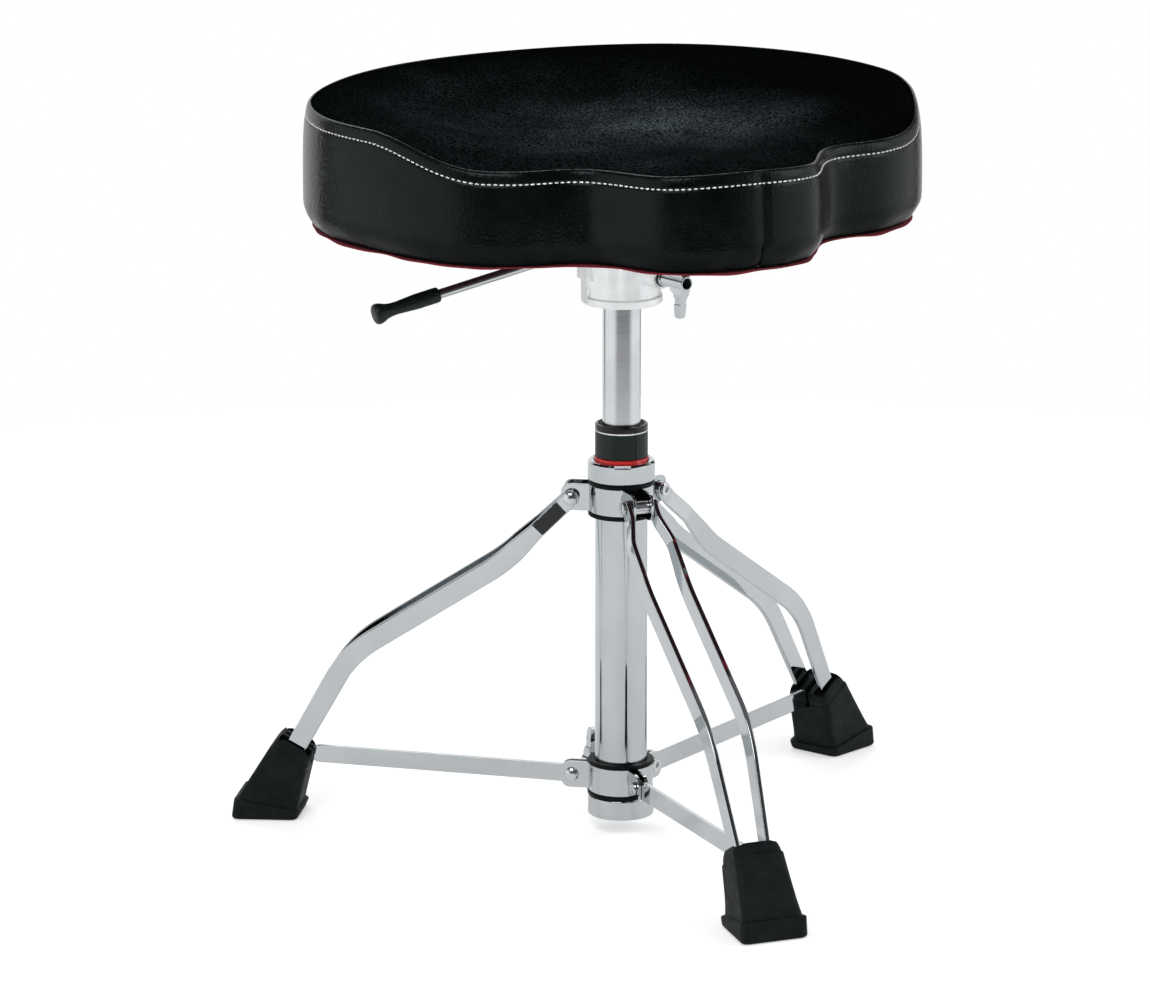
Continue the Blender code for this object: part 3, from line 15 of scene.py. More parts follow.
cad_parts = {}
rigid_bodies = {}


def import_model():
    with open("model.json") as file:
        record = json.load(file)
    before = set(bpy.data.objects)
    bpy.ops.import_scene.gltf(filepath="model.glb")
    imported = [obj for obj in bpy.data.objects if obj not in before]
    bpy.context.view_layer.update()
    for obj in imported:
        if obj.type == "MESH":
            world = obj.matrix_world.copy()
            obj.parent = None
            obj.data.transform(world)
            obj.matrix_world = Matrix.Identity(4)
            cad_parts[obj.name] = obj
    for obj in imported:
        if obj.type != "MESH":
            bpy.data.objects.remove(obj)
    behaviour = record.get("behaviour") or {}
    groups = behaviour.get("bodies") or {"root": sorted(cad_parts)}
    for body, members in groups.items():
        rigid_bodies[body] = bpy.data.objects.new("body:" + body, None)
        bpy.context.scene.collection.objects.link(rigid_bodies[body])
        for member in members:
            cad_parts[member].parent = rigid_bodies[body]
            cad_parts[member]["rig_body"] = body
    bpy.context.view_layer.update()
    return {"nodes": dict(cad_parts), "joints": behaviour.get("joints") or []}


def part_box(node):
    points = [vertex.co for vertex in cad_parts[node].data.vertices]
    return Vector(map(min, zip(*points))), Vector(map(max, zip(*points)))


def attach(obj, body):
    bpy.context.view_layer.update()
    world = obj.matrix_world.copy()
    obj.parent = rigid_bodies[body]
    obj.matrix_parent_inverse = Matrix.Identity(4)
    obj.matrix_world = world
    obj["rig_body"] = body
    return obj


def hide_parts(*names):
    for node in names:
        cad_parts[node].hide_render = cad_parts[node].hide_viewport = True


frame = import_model()

# The photograph's camera
PHOTO_WIDTH = 1150
FOCAL_PIXELS = 6136.9
CAMERA_DISTANCE = 4.3028
CAMERA_HEIGHT = 1.354
CAMERA_AZIMUTH = math.radians(-22.11)
CAMERA_PITCH = 0.2509
CAMERA_YAW = -0.0078
SENSOR_WIDTH = 36.0
VIEW_DEPTH = 60.0

# Lamps: place, size and power in watts
KEY_LIGHT = ((-1.4, -1.6, 2.6), (1.6, 1.6), 32.0)
FILL_LIGHT = ((2.2, -1.2, 1.6), (1.4, 1.8), 16.0)
BACK_LIGHT = ((0.3, 2.2, 2.4), (2.2, 1.0), 24.0)
HUB_LIGHT = ((-0.85, -1.75, 0.16), (0.3, 0.3), 0.24)
HUB_LIGHT_SPREAD = math.radians(16.0)
STAND_LEVEL = 0.30
HUB_LEVEL = 0.43

# Dark zones that polished metal sees, as turns in degrees from the camera's side:
# fade, dark, dark, fade, brightness
DARK_ZONES = [
    (-46.0, -24.0, 44.0, 66.0, 0.06),
    (136.0, 141.0, 150.0, 155.0, 0.01),
    (228.0, 233.0, 242.0, 247.0, 0.01),
]
CEILING_START = 0.35
CEILING_END = 0.60
CEILING_SHARE = 0.15
WORLD_FILL = 0.46
WHITE = (1.0, 1.0, 1.0, 1.0)
COOL_GLOSS = (0.80, 1.0, 1.0, 1.0)

# Floor
FLOOR_RADIUS = 1.4
FLOOR_SIDES = 96
FLOOR_DROP = 0.0003
FLOOR_COLOUR = (0.88, 0.88, 0.88)
FLOOR_GLOW = 0.45
FLOOR_MIRROR_GLOW = 0.12

# Rounding of the pieces
ROUND_SIDES = 96
GRIP_SIDES = 64
SMALL_SIDES = 40
HAIR_EDGE = 0.0001
PIN_EDGE = 0.0002
BOLT_EDGE = 0.0003
EDGE = 0.0004
STRAP_EDGE = 0.0005
WING_EDGE = 0.0006
STAY_EDGE = 0.0007
FLANGE_EDGE = 0.0007
LIP_EDGE = 0.0008
CAST_EDGE = 0.0008
TUBE_EDGE = 0.0012
BEND_LIMIT = 0.49
EDGE_STEPS = 3
SHARP_TURN = 50.0
SOFTEN_TURN = 38.0
FLAT_TURN = 0.5
WELD_DISTANCE = 0.000002

# Column and gas cylinder
FIT = 0.0003
TUBE_WALL = 0.0018
CAP_FLOOR = 0.0030
CAP_HOLE = 0.0085
GUIDE_LINE_DEPTH = 0.0045
GUIDE_LINE_HEIGHT = 0.0009
GUIDE_WELL_DEPTH = 0.0025
GUIDE_RIM_WIDTH = 0.0022
GUIDE_RIM_SLOPE = 0.0008
SLIT_AZIMUTH = math.radians(-79.9)
SLIT_WIDTH = 0.0006
SLIT_DEPTH = 0.0014
SLIT_HEIGHT = 0.0400
SPOOL_WALL = 0.0019
SPOOL_FLANGE = 0.0030
CYLINDER_BORE = 0.0053
CYLINDER_SOCKET = 0.0033
CYLINDER_SOCKET_DEPTH = 0.0150
CYLINDER_TOP_WALL = 0.0100

# Leg bars: corners are (reach from the column, height)
BAR_THICKNESS = 0.0038
BAR_EYE_WIDTH = 0.0120
BAR_WIDTH = 0.0155
BAR_FOOT_WIDTH = 0.0145
BAR_EYE_OFFSET = 0.0101
BAR_OFFSET = 0.0155
BAR_FOOT_OFFSET = 0.0105
BAR_EDGE = 0.0009
BAR_PIVOT = (0.0355, 0.2504)
BAR_CORNERS = [
    BAR_PIVOT,
    (0.0435, 0.2420),
    (0.0580, 0.2280),
    (0.0850, 0.2008),
    (0.1990, 0.1272),
    (0.2475, 0.0400),
]
BAR_BENDS = [0.0035, 0.0035, 0.0140, 0.0230]
BAR_BEND_STEPS = 10
BAR_CORNER_STEPS = 4
BAR_EYE_STEPS = 9
BOLT_HOLE_RADIUS = 0.0033
BOLT_HOLE_REACH = 0.0300

# Boots: points are (reach from the column, height), steps are (inset, rise)
BOOT_OUTER = 0.2865
BOOT_INNER = 0.2375
BOOT_OUTER_HALF = 0.0254
BOOT_INNER_HALF = 0.0218
BOOT_SOLE_ROUND = 0.0025
BOOT_SOLE_STEPS = 3
BOOT_LIP_OUTER = (0.2845, 0.0160)
BOOT_LIP_INNER = (0.2358, 0.0068)
BOOT_LIP_STEPS = [(0.0, -0.0010), (0.0003, -0.0003), (0.0008, 0.0), (0.0022, 0.0004)]
BOOT_WALL_START = (0.0024, 0.0012)
BOOT_WALL_END = (0.0, -0.0014)
BOOT_WAIST_DEPTH = 0.0005
BOOT_WAIST_ROWS = 6
BOOT_SHOULDER_INNER = (0.2300, 0.0400)
BOOT_SHOULDER_OUTER = (0.2575, 0.0560)
BOOT_SHOULDER_HALF = 0.0190
BOOT_SHOULDER_STEPS = [(0.0001, -0.0003), (0.0005, 0.0003), (0.0009, 0.0006)]
BOOT_RIM_INNER = (0.2262, 0.0492)
BOOT_RIM_OUTER = (0.2525, 0.0635)
BOOT_RIM_HALF = 0.0178
BOOT_RIM_STEPS = [
    (-0.0002, -0.0056),
    (0.0004, -0.0034),
    (0.0011, -0.0015),
    (0.0018, -0.0004),
    (0.0026, 0.0),
]
BOOT_CORNER = 0.0055
BOOT_RIM_CORNER = 0.0075
BOOT_CORNER_STEPS = 5
BOOT_RIM_WALL = 0.0020
BOOT_RIB_HALF = 0.0062
BOOT_WELL_CORNER = 0.0022
BOOT_WELL_STEPS = [(0.0006, -0.0045), (0.0, -0.0039), (0.0, -0.0005), (-0.0010, 0.0006)]
BOOT_SHARP_TURN = 40.0
STAY_THICKNESS = 0.0030
STAY_SLOT_FLOOR = 0.0382
STAY_SLOT_REACH = 0.2562
STAY_SLOT_CORNER = 0.0550
STAY_SLOT_TOP = 0.0820
STAY_SLOT_SIDE = 0.0010
STAY_SLOT_OPEN = 0.0160

# Black sleeves in the wing screws' bores, which paint the shade inside them
BORE_SHADE_RADIUS = 0.0040
BORE_SHADE_WALL = 0.0006
BORE_SHADE_MOUTH = 0.0012
BORE_SHADE_BACK = 0.0098

# Lift lever, along its rod: grip points are (radius, distance from the grip's end)
LEVER_SLOPE = math.radians(11.9)
LEVER_RADIUS = 0.0035
LEVER_TAIL = 0.0260
GRIP_START = 0.1237
GRIP_LENGTH = 0.0507
GRIP_SOCKET_DEPTH = 0.0223
GRIP_SLEEVE_RADIUS = 0.0056
GRIP_SLEEVE_LENGTH = 0.0180
GRIP_END_POINTS = [
    (0.0064, 0.0),
    (0.0077, 0.0022),
    (0.0072, 0.0056),
    (0.0052, 0.0100),
    (0.0045, 0.0160),
    (0.0050, 0.0240),
]
GRIP_ROUND = 0.0030

# Seat outline: half width and forward reach from the column, from the nose round to the back
SEAT_HALF_OUTLINE = [
    (0.0, 0.2108),
    (0.0560, 0.1965),
    (0.0950, 0.1460),
    (0.1450, 0.1340),
    (0.1865, 0.1025),
    (0.2140, 0.0430),
    (0.2270, -0.0220),
    (0.2080, -0.0900),
    (0.1560, -0.1450),
    (0.0800, -0.1800),
    (0.0, -0.1900),
]
SEAT_CURVE_STEPS = 60
SEAT_COLUMNS = 220

# Seat heights above its underside; turns are degrees from the nose
SEAT_FRONT_HEIGHT = 0.0670
SEAT_NOSE_LIFT = 0.0025
SEAT_NOSE_TURN = 25.0
SEAT_HIP_HEIGHT = 0.0860
SEAT_HIP_TURNS = (52.0, 80.0)
SEAT_BACK_HEIGHT = 0.0900
SEAT_BACK_TURNS = (95.0, 150.0)
SEAT_DISH_HEIGHT = 0.0650
SEAT_DISH_POWER = 2.2
SEAT_DISH_DIMPLE = 0.0002
SEAT_CROWN = 0.0040
SEAT_CROWN_SHARE = 0.4

# Vinyl side cover: tuck and lip steps are (inset, height) and (inset, depth)
SEAT_LEAN = 0.0042
SEAT_LEAN_DEPTH = 0.0120
SEAT_RIM_ROUND = 0.0030
SEAT_RIM_INSET = 0.0018
SEAT_FOOT_INSET = 0.0085
SEAT_FOOT_ROUND = 0.0160
SEAT_FOOT_TOP = 0.0170
SEAM_INSET = 0.0064
SEAM_DEPTH = 0.0030
COVER_THICKNESS = 0.0020
COVER_TUCK = [(0.0080, 0.0010), (0.0030, 0.0004)]
COVER_TUCK_TOP = 0.0030
COVER_LIP = [(-0.0001, 0.0003), (0.0, 0.0010), (-0.0004, SEAM_DEPTH)]
COVER_INSIDE_SHARES = (0.85, 0.5, 0.25)
FOOT_ROWS = 8
FOOT_SPREAD = 1.6
WALL_ROWS = 8
APPROACH_DEPTHS = (0.0240, 0.0190, 0.0155)
RIM_DEPTHS = (0.0044, 0.0036)
ROLL_ROWS = 7

# Stitches and creases in the vinyl
STITCH_DEPTH = 0.0084
STITCH_LENGTH = 0.0036
STITCH_PITCH = 0.0043
STITCH_RADIUS = 0.00055
STITCH_STAND = 1.5
STITCH_SINK = 0.9
STITCH_POINTS = 7
STITCH_SIDES = 8
STITCH_DENT = 0.0007
STITCH_DENT_WIDTH = 0.0013
STITCH_SIDE_ROWS = 4
STITCH_ROW_STEP = 0.0008
STITCH_ROW = len(COVER_TUCK) + FOOT_ROWS + WALL_ROWS + len(APPROACH_DEPTHS) + STITCH_SIDE_ROWS
NOSE_SEAM_SHIFT = 0.0102
NOSE_SEAM_DENT = 0.0017
NOSE_SEAM_WIDTH = 0.0009
NOSE_SEAM_START = 0.0040
NOSE_SEAM_BAND = 0.0070
NOSE_SEAM_POINTS = 16
NOSE_PULL = 0.0012
PUCKER_DEPTH = 0.0010
PUCKER_HEIGHT = 0.0110
PUCKER_START = (0.0010, 0.0060)
PUCKER_COUNT = 31
PUCKER_SWAY = 1.5
PUCKER_SWAY_COUNT = 7

# Cloth top: edge steps are (inset from the seam, depth), under steps are (share, inset from the seam, depth)
TOP_EDGE = [(-0.0008, SEAM_DEPTH), (0.0002, 0.0012), (0.0012, 0.0002)]
TOP_START = 0.010
TOP_REACH = 0.93
TOP_ROWS = 20
TOP_SPREAD = 1.6
TOP_UNDER = [(0.5, 0.0, 0.0300), (1.0, 0.0010, 0.0120)]
TOP_FLOOR = 0.0350

# Underside lining and its piping: section points are (inset, share of the lining's thickness)
LINING_INSET = 0.0120
LINING_GAP = 0.0001
PIPING_INSET = 0.0124
PIPING_TOP = 0.36
PIPING_SECTION = [(0.0078, 1.0), (0.0066, 0.86), (0.0063, 0.70), (0.0068, 0.54), (0.0082, 0.42)]
PIPING_WAVE = 0.0003
PIPING_WAVES = [(13, 0.0, 1.0), (22, 1.0, 1.0), (37, 2.0, 0.6)]

# Cloth simulation of the padded covers
PAD_PRESSURE = 4.0
PAD_STEPS = 20
PAD_QUALITY = 6
PAD_STIFFNESS = 2.0
PAD_MOVE_LIMIT = 0.0040
PAD_FOOT_ROWS = 3
PAD_RIM_ROWS = 6
PAD_EDGE_ROWS = 2
PAD_FREE_ROWS = 11
PAD_FADE_ROWS = 6

JOINTS = {joint["name"]: joint for joint in frame["joints"]}


def level_turn(name):
    """Turn about Z that brings Y onto a joint's level axis."""
    axis = JOINTS[name]["axis"]
    return math.atan2(-axis[0], axis[1])


def joint_frame(name):
    """The joint's place, with Y along its level axis and Z up."""
    return Matrix.Translation(JOINTS[name]["pos_m"]) @ Matrix.Rotation(level_turn(name), 4, "Z")


COLUMN = Vector((*JOINTS["seat_swivel"]["pos_m"][:2], 0.0))
STAND = Matrix.Translation(COLUMN)
SEAT = STAND @ Matrix.Rotation(level_turn("lever_lift"), 4, "Z")
SEAT_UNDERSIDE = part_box("underside_cover")[1].z
SEAT_PLACE = SEAT @ Matrix.Translation((0.0, 0.0, SEAT_UNDERSIDE))
# Centres of the painted sheen on the cloth top: a small glow and a wider sweep in the dish.
SHEEN_GLOW_CENTRE = SEAT_PLACE @ Vector((0.035, -0.014, SEAT_DISH_HEIGHT))
SHEEN_SWEEP_CENTRE = SEAT_PLACE @ Vector((-0.045, -0.035, SEAT_DISH_HEIGHT))


def add_node(tree, kind, inputs=None, **settings):
    """A shader node with its settings, values and links."""
    node = tree.nodes.new("ShaderNode" + kind)
    for key, value in settings.items():
        setattr(node, key, value)
    for key, value in (inputs or {}).items():
        if isinstance(value, bpy.types.NodeSocket):
            tree.links.new(value, node.inputs[key])
        else:
            node.inputs[key].default_value = value
    return node


class Finish:
    """A Principled material whose colour, roughness and relief vary over the surface."""

    def __init__(self, name, colour, roughness, metallic=0.0, sockets=None):
        self.material = bpy.data.materials.new(name)
        self.material.use_nodes = True
        self.tree = self.material.node_tree
        self.shader = self.tree.nodes["Principled BSDF"]
        values = {"Base Color": (*colour, 1.0), "Roughness": roughness, "Metallic": metallic}
        values.update(sockets or {})
        for socket, value in values.items():
            self.shader.inputs[socket].default_value = value
        self.place = add_node(self.tree, "TexCoord").outputs["Object"]
        self.normal = None

    def add(self, kind, inputs, **settings):
        return add_node(self.tree, kind, inputs, **settings)

    def drive(self, socket, source):
        self.tree.links.new(source, self.shader.inputs[socket])

    def noise(self, size, detail=3.0, stretch=(1.0, 1.0, 1.0)):
        place = self.add("Mapping", {"Vector": self.place, "Scale": stretch}).outputs["Vector"]
        inputs = {"Vector": place, "Scale": 1.0 / size, "Detail": detail}
        return self.add("TexNoise", inputs).outputs["Fac"]

    def creases(self, size):
        """Distance to the edges of cells of about one size."""
        inputs = {"Vector": self.place, "Scale": 1.0 / size}
        return self.add("TexVoronoi", inputs, feature="DISTANCE_TO_EDGE").outputs["Distance"]

    def bands(self, size, direction="X", wobble=0.0):
        """Parallel ridges one size apart."""
        scale = math.pi / (10.0 * size)
        inputs = {"Vector": self.place, "Scale": scale, "Distortion": wobble, "Detail": 1.0}
        return self.add("TexWave", inputs, bands_direction=direction).outputs["Fac"]

    def distance_from(self, centre):
        """Distance in metres from a point."""
        inputs = {0: self.place, 1: centre}
        return self.add("VectorMath", inputs, operation="DISTANCE").outputs["Value"]

    def height(self):
        return self.add("SeparateXYZ", {0: self.place}).outputs["Z"]

    def mapped(self, source, low, high, start=0.3, end=0.7):
        inputs = {"Value": source, "From Min": start, "From Max": end, "To Min": low, "To Max": high}
        return self.add("MapRange", inputs).outputs["Result"]

    def product(self, *sources):
        whole = sources[0]
        for source in sources[1:]:
            whole = self.add("Math", {0: whole, 1: source}, operation="MULTIPLY").outputs["Value"]
        return whole

    def vary_colour(self, source, first, second, start=0.35, end=0.65):
        share = self.mapped(source, 0.0, 1.0, start, end)
        mix = self.add("Mix", {0: share, 6: (*first, 1.0), 7: (*second, 1.0)}, data_type="RGBA")
        self.drive("Base Color", mix.outputs[2])

    def vary_roughness(self, source, low, high):
        self.drive("Roughness", self.mapped(source, low, high))

    def vary_gloss(self, source, low, high, start, end):
        self.drive("Specular IOR Level", self.mapped(source, low, high, start, end))

    def relief(self, source, height, strength=1.0):
        """Bump of a real height in metres, on top of any relief already there."""
        inputs = {"Height": source, "Distance": height, "Strength": strength}
        if self.normal is not None:
            inputs["Normal"] = self.normal
        self.normal = self.add("Bump", inputs).outputs["Normal"]
        self.drive("Normal", self.normal)


def make_chrome():
    finish = Finish("bright_chrome", (0.555, 0.585, 0.605), 0.05, 1.0)
    finish.vary_roughness(finish.noise(0.018, 4.0), 0.03, 0.075)
    finish.vary_colour(finish.noise(0.05), (0.53, 0.56, 0.58), (0.58, 0.61, 0.63))
    finish.relief(finish.noise(0.012, 2.0), 0.00002, 0.4)
    return finish.material


def make_steel():
    finish = Finish("ground_steel", (0.68, 0.70, 0.72), 0.22, 1.0)
    finish.vary_roughness(finish.noise(0.0006, 3.0, (0.05, 0.05, 1.0)), 0.16, 0.27)
    finish.vary_colour(finish.noise(0.02), (0.65, 0.67, 0.69), (0.71, 0.73, 0.75))
    finish.relief(finish.noise(0.0005, 2.0, (0.05, 0.05, 1.0)), 0.000006)
    return finish.material


def make_cast():
    finish = Finish("satin_casting", (0.84, 0.86, 0.87), 0.32, 0.35)
    finish.vary_roughness(finish.noise(0.0040, 5.0), 0.285, 0.36)
    finish.vary_colour(finish.noise(0.010, 5.0), (0.81, 0.83, 0.84), (0.89, 0.91, 0.915))
    finish.relief(finish.noise(0.0060, 2.0), 0.00012, 0.6)
    finish.relief(finish.noise(0.0008, 4.0), 0.00002)
    return finish.material


def make_plastic(name, colour, lighter, roughness, grain, specular=0.5):
    finish = Finish(name, colour, roughness, 0.0, {"Specular IOR Level": specular})
    finish.vary_colour(finish.noise(0.012, 4.0), colour, lighter)
    finish.vary_roughness(finish.noise(0.004, 4.0), roughness - 0.06, roughness + 0.06)
    finish.relief(finish.noise(0.0007, 3.0), grain)
    return finish.material


def make_rubber():
    gloss = {"Specular IOR Level": 0.18, "Specular Tint": COOL_GLOSS}
    finish = Finish("moulded_rubber", (0.006, 0.007, 0.0075), 0.55, 0.0, gloss)
    finish.vary_colour(finish.noise(0.010, 6.0), (0.0042, 0.0054, 0.0058), (0.0080, 0.0100, 0.0106))
    finish.vary_roughness(finish.noise(0.006, 5.0), 0.50, 0.68)
    finish.relief(finish.noise(0.006, 3.0), 0.00008, 0.6)
    finish.relief(finish.noise(0.0008, 3.0), 0.00004)
    return finish.material


def make_velour():
    """Short black pile: dark between the fibres, with a painted sheen that is paler round a glow and a sweep
    in the middle of the dish.
    """
    finish = Finish("black_velour", (0.003, 0.0038, 0.0042), 0.95, 0.0, {"Specular IOR Level": 0.0})
    # Painted sheen: the cloth's colour is lighter round the glow and the sweep in the dish.
    sheen_glow = finish.mapped(finish.distance_from(SHEEN_GLOW_CENTRE), 1.0, 0.0, 0.01, 0.12)
    sheen_sweep = finish.mapped(finish.distance_from(SHEEN_SWEEP_CENTRE), 0.34, 0.02, 0.04, 0.21)
    painted_sheen = finish.add("Math", {0: sheen_glow, 1: sheen_sweep}, operation="MAXIMUM").outputs["Value"]
    patches = finish.mapped(finish.noise(0.045, 4.0), 0.30, 1.0)
    fibres = finish.mapped(finish.noise(0.0017, 4.0), 0.0, 1.0, 0.40, 0.66)
    twill = finish.bands(0.0022, "DIAGONAL", 1.5)
    sheen_and_pile = finish.product(painted_sheen, patches, fibres, finish.mapped(twill, 0.30, 1.1, 0.2, 0.8))
    finish.vary_colour(sheen_and_pile, (0.0010, 0.0013, 0.0015), (0.165, 0.205, 0.218), 0.0, 1.0)
    finish.relief(twill, 0.00012, 0.5)
    finish.relief(finish.noise(0.0012, 4.0), 0.00030)
    return finish.material


def make_vinyl():
    """Black leathercloth with a creased grain; its gloss fades towards the tucked lower edge, which paints
    shade into its reflections there.
    """
    finish = Finish("grained_vinyl", (0.0018, 0.0024, 0.0026), 0.24, 0.0, {"Specular Tint": COOL_GLOSS})
    finish.vary_colour(finish.noise(0.020, 5.0), (0.0012, 0.0017, 0.0019), (0.0030, 0.0040, 0.0043))
    finish.vary_roughness(finish.noise(0.0035, 4.0), 0.21, 0.265)
    # Painted shade: the gloss falls to almost none towards the seat's underside.
    finish.vary_gloss(finish.height(), 0.01, 0.17, SEAT_UNDERSIDE, SEAT_UNDERSIDE + 0.022)
    finish.relief(finish.noise(0.014, 5.0), 0.0006, 0.5)
    finish.relief(finish.creases(0.0034), 0.00028)
    finish.relief(finish.noise(0.0020, 3.0), 0.00014)
    return finish.material


def make_thread():
    finish = Finish("white_thread", (0.78, 0.78, 0.76), 0.80, 0.0, {"Sheen Weight": 0.2})
    finish.vary_colour(finish.noise(0.004, 3.0), (0.70, 0.70, 0.68), (0.84, 0.84, 0.82))
    finish.relief(finish.bands(0.0007, "DIAGONAL"), 0.00010)
    return finish.material


def make_lining(name, dark, light):
    finish = Finish(name, light, 0.85, 0.0, {"Sheen Weight": 0.1, "Specular IOR Level": 0.2})
    weave = finish.product(finish.bands(0.0012, "X"), finish.bands(0.0012, "Y"))
    finish.vary_colour(finish.noise(0.006, 4.0), dark, light)
    finish.relief(weave, 0.00020)
    finish.relief(finish.noise(0.030, 2.0), 0.0010, 0.4)
    return finish.material


def make_plywood():
    finish = Finish("birch_plywood", (0.55, 0.40, 0.24), 0.70)
    finish.vary_colour(finish.noise(0.010, 5.0, (1.0, 0.08, 4.0)), (0.47, 0.33, 0.19), (0.60, 0.45, 0.28))
    finish.relief(finish.noise(0.0020, 4.0, (1.0, 0.06, 1.0)), 0.00010)
    return finish.material


CHROME = make_chrome()
STEEL = make_steel()
CAST = make_cast()
SATIN_BLACK = make_plastic("satin_black", (0.005, 0.010, 0.0095), (0.008, 0.014, 0.0135), 0.42, 4e-5, 0.26)
MOULDED_BLACK = make_plastic("moulded_black", (0.0025, 0.0028, 0.003), (0.004, 0.0045, 0.005), 0.4, 2e-5, 0.1)
GLOSS_BLACK = make_plastic("gloss_black", (0.004, 0.004, 0.004), (0.006, 0.006, 0.006), 0.18, 1e-5, 0.35)
GLOSS_RED = make_plastic("gloss_red", (0.55, 0.012, 0.010), (0.63, 0.020, 0.016), 0.20, 1e-5)
LINE_WHITE = make_plastic("line_white", (0.74, 0.74, 0.72), (0.82, 0.82, 0.80), 0.45, 2e-5)
RUBBER = make_rubber()
VELOUR = make_velour()
VINYL = make_vinyl()
THREAD = make_thread()
# The underside lining is the piping's crimson darkened about tenfold, as painted shade for the underside of
# the seat.
SHADED_LINING = make_lining("shade_darkened_lining", (0.020, 0.005, 0.008), (0.032, 0.008, 0.012))
PIPING = make_lining("crimson_piping", (0.26, 0.010, 0.026), (0.36, 0.020, 0.044))
PLYWOOD = make_plywood()


def skin(rows, closed=False, bm=None):
    """A mesh through rows of points, added to bm where one is given.

    A row of one point is a pole.  Closed joins the last row to the first; otherwise the end rows are capped.
    """
    if bm is None:
        bm = bmesh.new()
    loops = [[bm.verts.new(tuple(point)) for point in row] for row in rows]
    pairs = list(zip(loops, loops[1:]))
    if closed:
        pairs.append((loops[-1], loops[0]))
    for lower, upper in pairs:
        count = max(len(lower), len(upper))
        for i in range(count):
            j = (i + 1) % count
            corners = [lower[k % len(lower)] for k in (i, j)] + [upper[k % len(upper)] for k in (j, i)]
            bm.faces.new(list(dict.fromkeys(corners)))
    if not closed:
        for loop in (loops[0], loops[-1]):
            if len(loop) > 1:
                bm.faces.new(loop)
    return bm


def rounded_path(corners, bends, steps):
    """Points along straight runs, with each inner corner rounded over its bend length."""
    corners = [Vector(corner) for corner in corners]
    points = [corners[0]]
    for before, corner, after, bend in zip(corners, corners[1:], corners[2:], bends):
        back = before - corner
        ahead = after - corner
        start = corner + back.normalized() * min(bend, back.length * BEND_LIMIT)
        end = corner + ahead.normalized() * min(bend, ahead.length * BEND_LIMIT)
        for step in range(steps + 1):
            share = step / steps
            points.append(start.lerp(corner, share).lerp(corner.lerp(end, share), share))
    points.append(corners[-1])
    return points


def rounded_ring(corners, bend, steps):
    """A closed outline with every corner rounded."""
    return rounded_path([corners[-1], *corners, corners[0]], [bend] * len(corners), steps)[1:-1]


def turned(profile, sides=ROUND_SIDES, hollow=True, edge=EDGE):
    """A profile of (radius, height) points revolved about Z, with its corners rounded over edge."""
    if hollow:
        profile = rounded_ring(profile, edge, EDGE_STEPS)
    else:
        profile = rounded_path(profile, [edge] * (len(profile) - 2), EDGE_STEPS)
    turns = [2 * math.pi * i / sides for i in range(sides)]
    rows = []
    for radius, height in profile:
        if radius < WELD_DISTANCE:
            rows.append([(0.0, 0.0, height)])
        else:
            rows.append([(radius * math.cos(turn), radius * math.sin(turn), height) for turn in turns])
    return skin(rows, closed=hollow)


def mesh_object(name, bm):
    """A linked object that takes over a bmesh, with its faces turned outward."""
    bmesh.ops.recalc_face_normals(bm, faces=bm.faces)
    mesh = bpy.data.meshes.new(name)
    bm.to_mesh(mesh)
    bm.free()
    item = bpy.data.objects.new(name, mesh)
    bpy.context.scene.collection.objects.link(item)
    return item


def add_piece(name, bm, material, body, nodes=(), matrix=None, sharp=SHARP_TURN):
    """A piece of the object: it rides on a body and stands for the nodes it covers."""
    if matrix is not None:
        bm.transform(matrix)
    piece = mesh_object(name, bm)
    piece.data.shade_smooth()
    piece.data.set_sharp_from_angle(angle=math.radians(sharp))
    piece.data.materials.append(material)
    normals = piece.modifiers.new("Even normals", "WEIGHTED_NORMAL")
    normals.keep_sharp = True
    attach(piece, body)
    if nodes:
        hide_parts(*nodes)
    return piece


def add_turned_node(node, profile, material, matrix=STAND, hollow=True, sides=ROUND_SIDES, edge=EDGE):
    """A round piece that stands in for a node."""
    body = frame["nodes"][node]["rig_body"]
    bm = turned(profile, sides, hollow, edge)
    return add_piece(node + "_fine", bm, material, body, [node], matrix)


def soften(bm, width, segments):
    """Round every edge that turns sharply."""
    limit = math.radians(SOFTEN_TURN)
    sharp = [edge for edge in bm.edges if len(edge.link_faces) == 2 and edge.calc_face_angle() > limit]
    bmesh.ops.bevel(bm, geom=sharp, offset=width, segments=segments, profile=0.5, affect="EDGES",
                    clamp_overlap=True)


def dress(node, material, width=EDGE, segments=2):
    """Stand in for a node with its own shape, its flat faces made whole and its edges rounded."""
    bm = bmesh.new()
    bm.from_mesh(frame["nodes"][node].data)
    bmesh.ops.remove_doubles(bm, verts=bm.verts, dist=WELD_DISTANCE)
    bmesh.ops.dissolve_limit(bm, angle_limit=math.radians(FLAT_TURN), verts=bm.verts, edges=bm.edges)
    soften(bm, width, segments)
    body = frame["nodes"][node]["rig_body"]
    return add_piece(node + "_fine", bm, material, body, [node])


def cut_away(piece, bm, matrix):
    """Take a closed cutter out of a piece."""
    bm.transform(matrix)
    cutter = mesh_object("cutter", bm)
    cut = piece.modifiers.new("Cut", "BOOLEAN")
    cut.object = cutter
    piece.modifiers.move(len(piece.modifiers) - 1, 0)
    with bpy.context.temp_override(object=piece, active_object=piece, selected_objects=[piece]):
        bpy.ops.object.modifier_apply(modifier=cut.name)
    bpy.data.objects.remove(cutter, do_unlink=True)


def levels(node):
    """Lowest and highest height of a node."""
    low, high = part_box(node)
    return low.z, high.z


def radius_of(node):
    """Radius of a round upright node."""
    low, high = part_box(node)
    return max(high.x - low.x, high.y - low.y) / 2


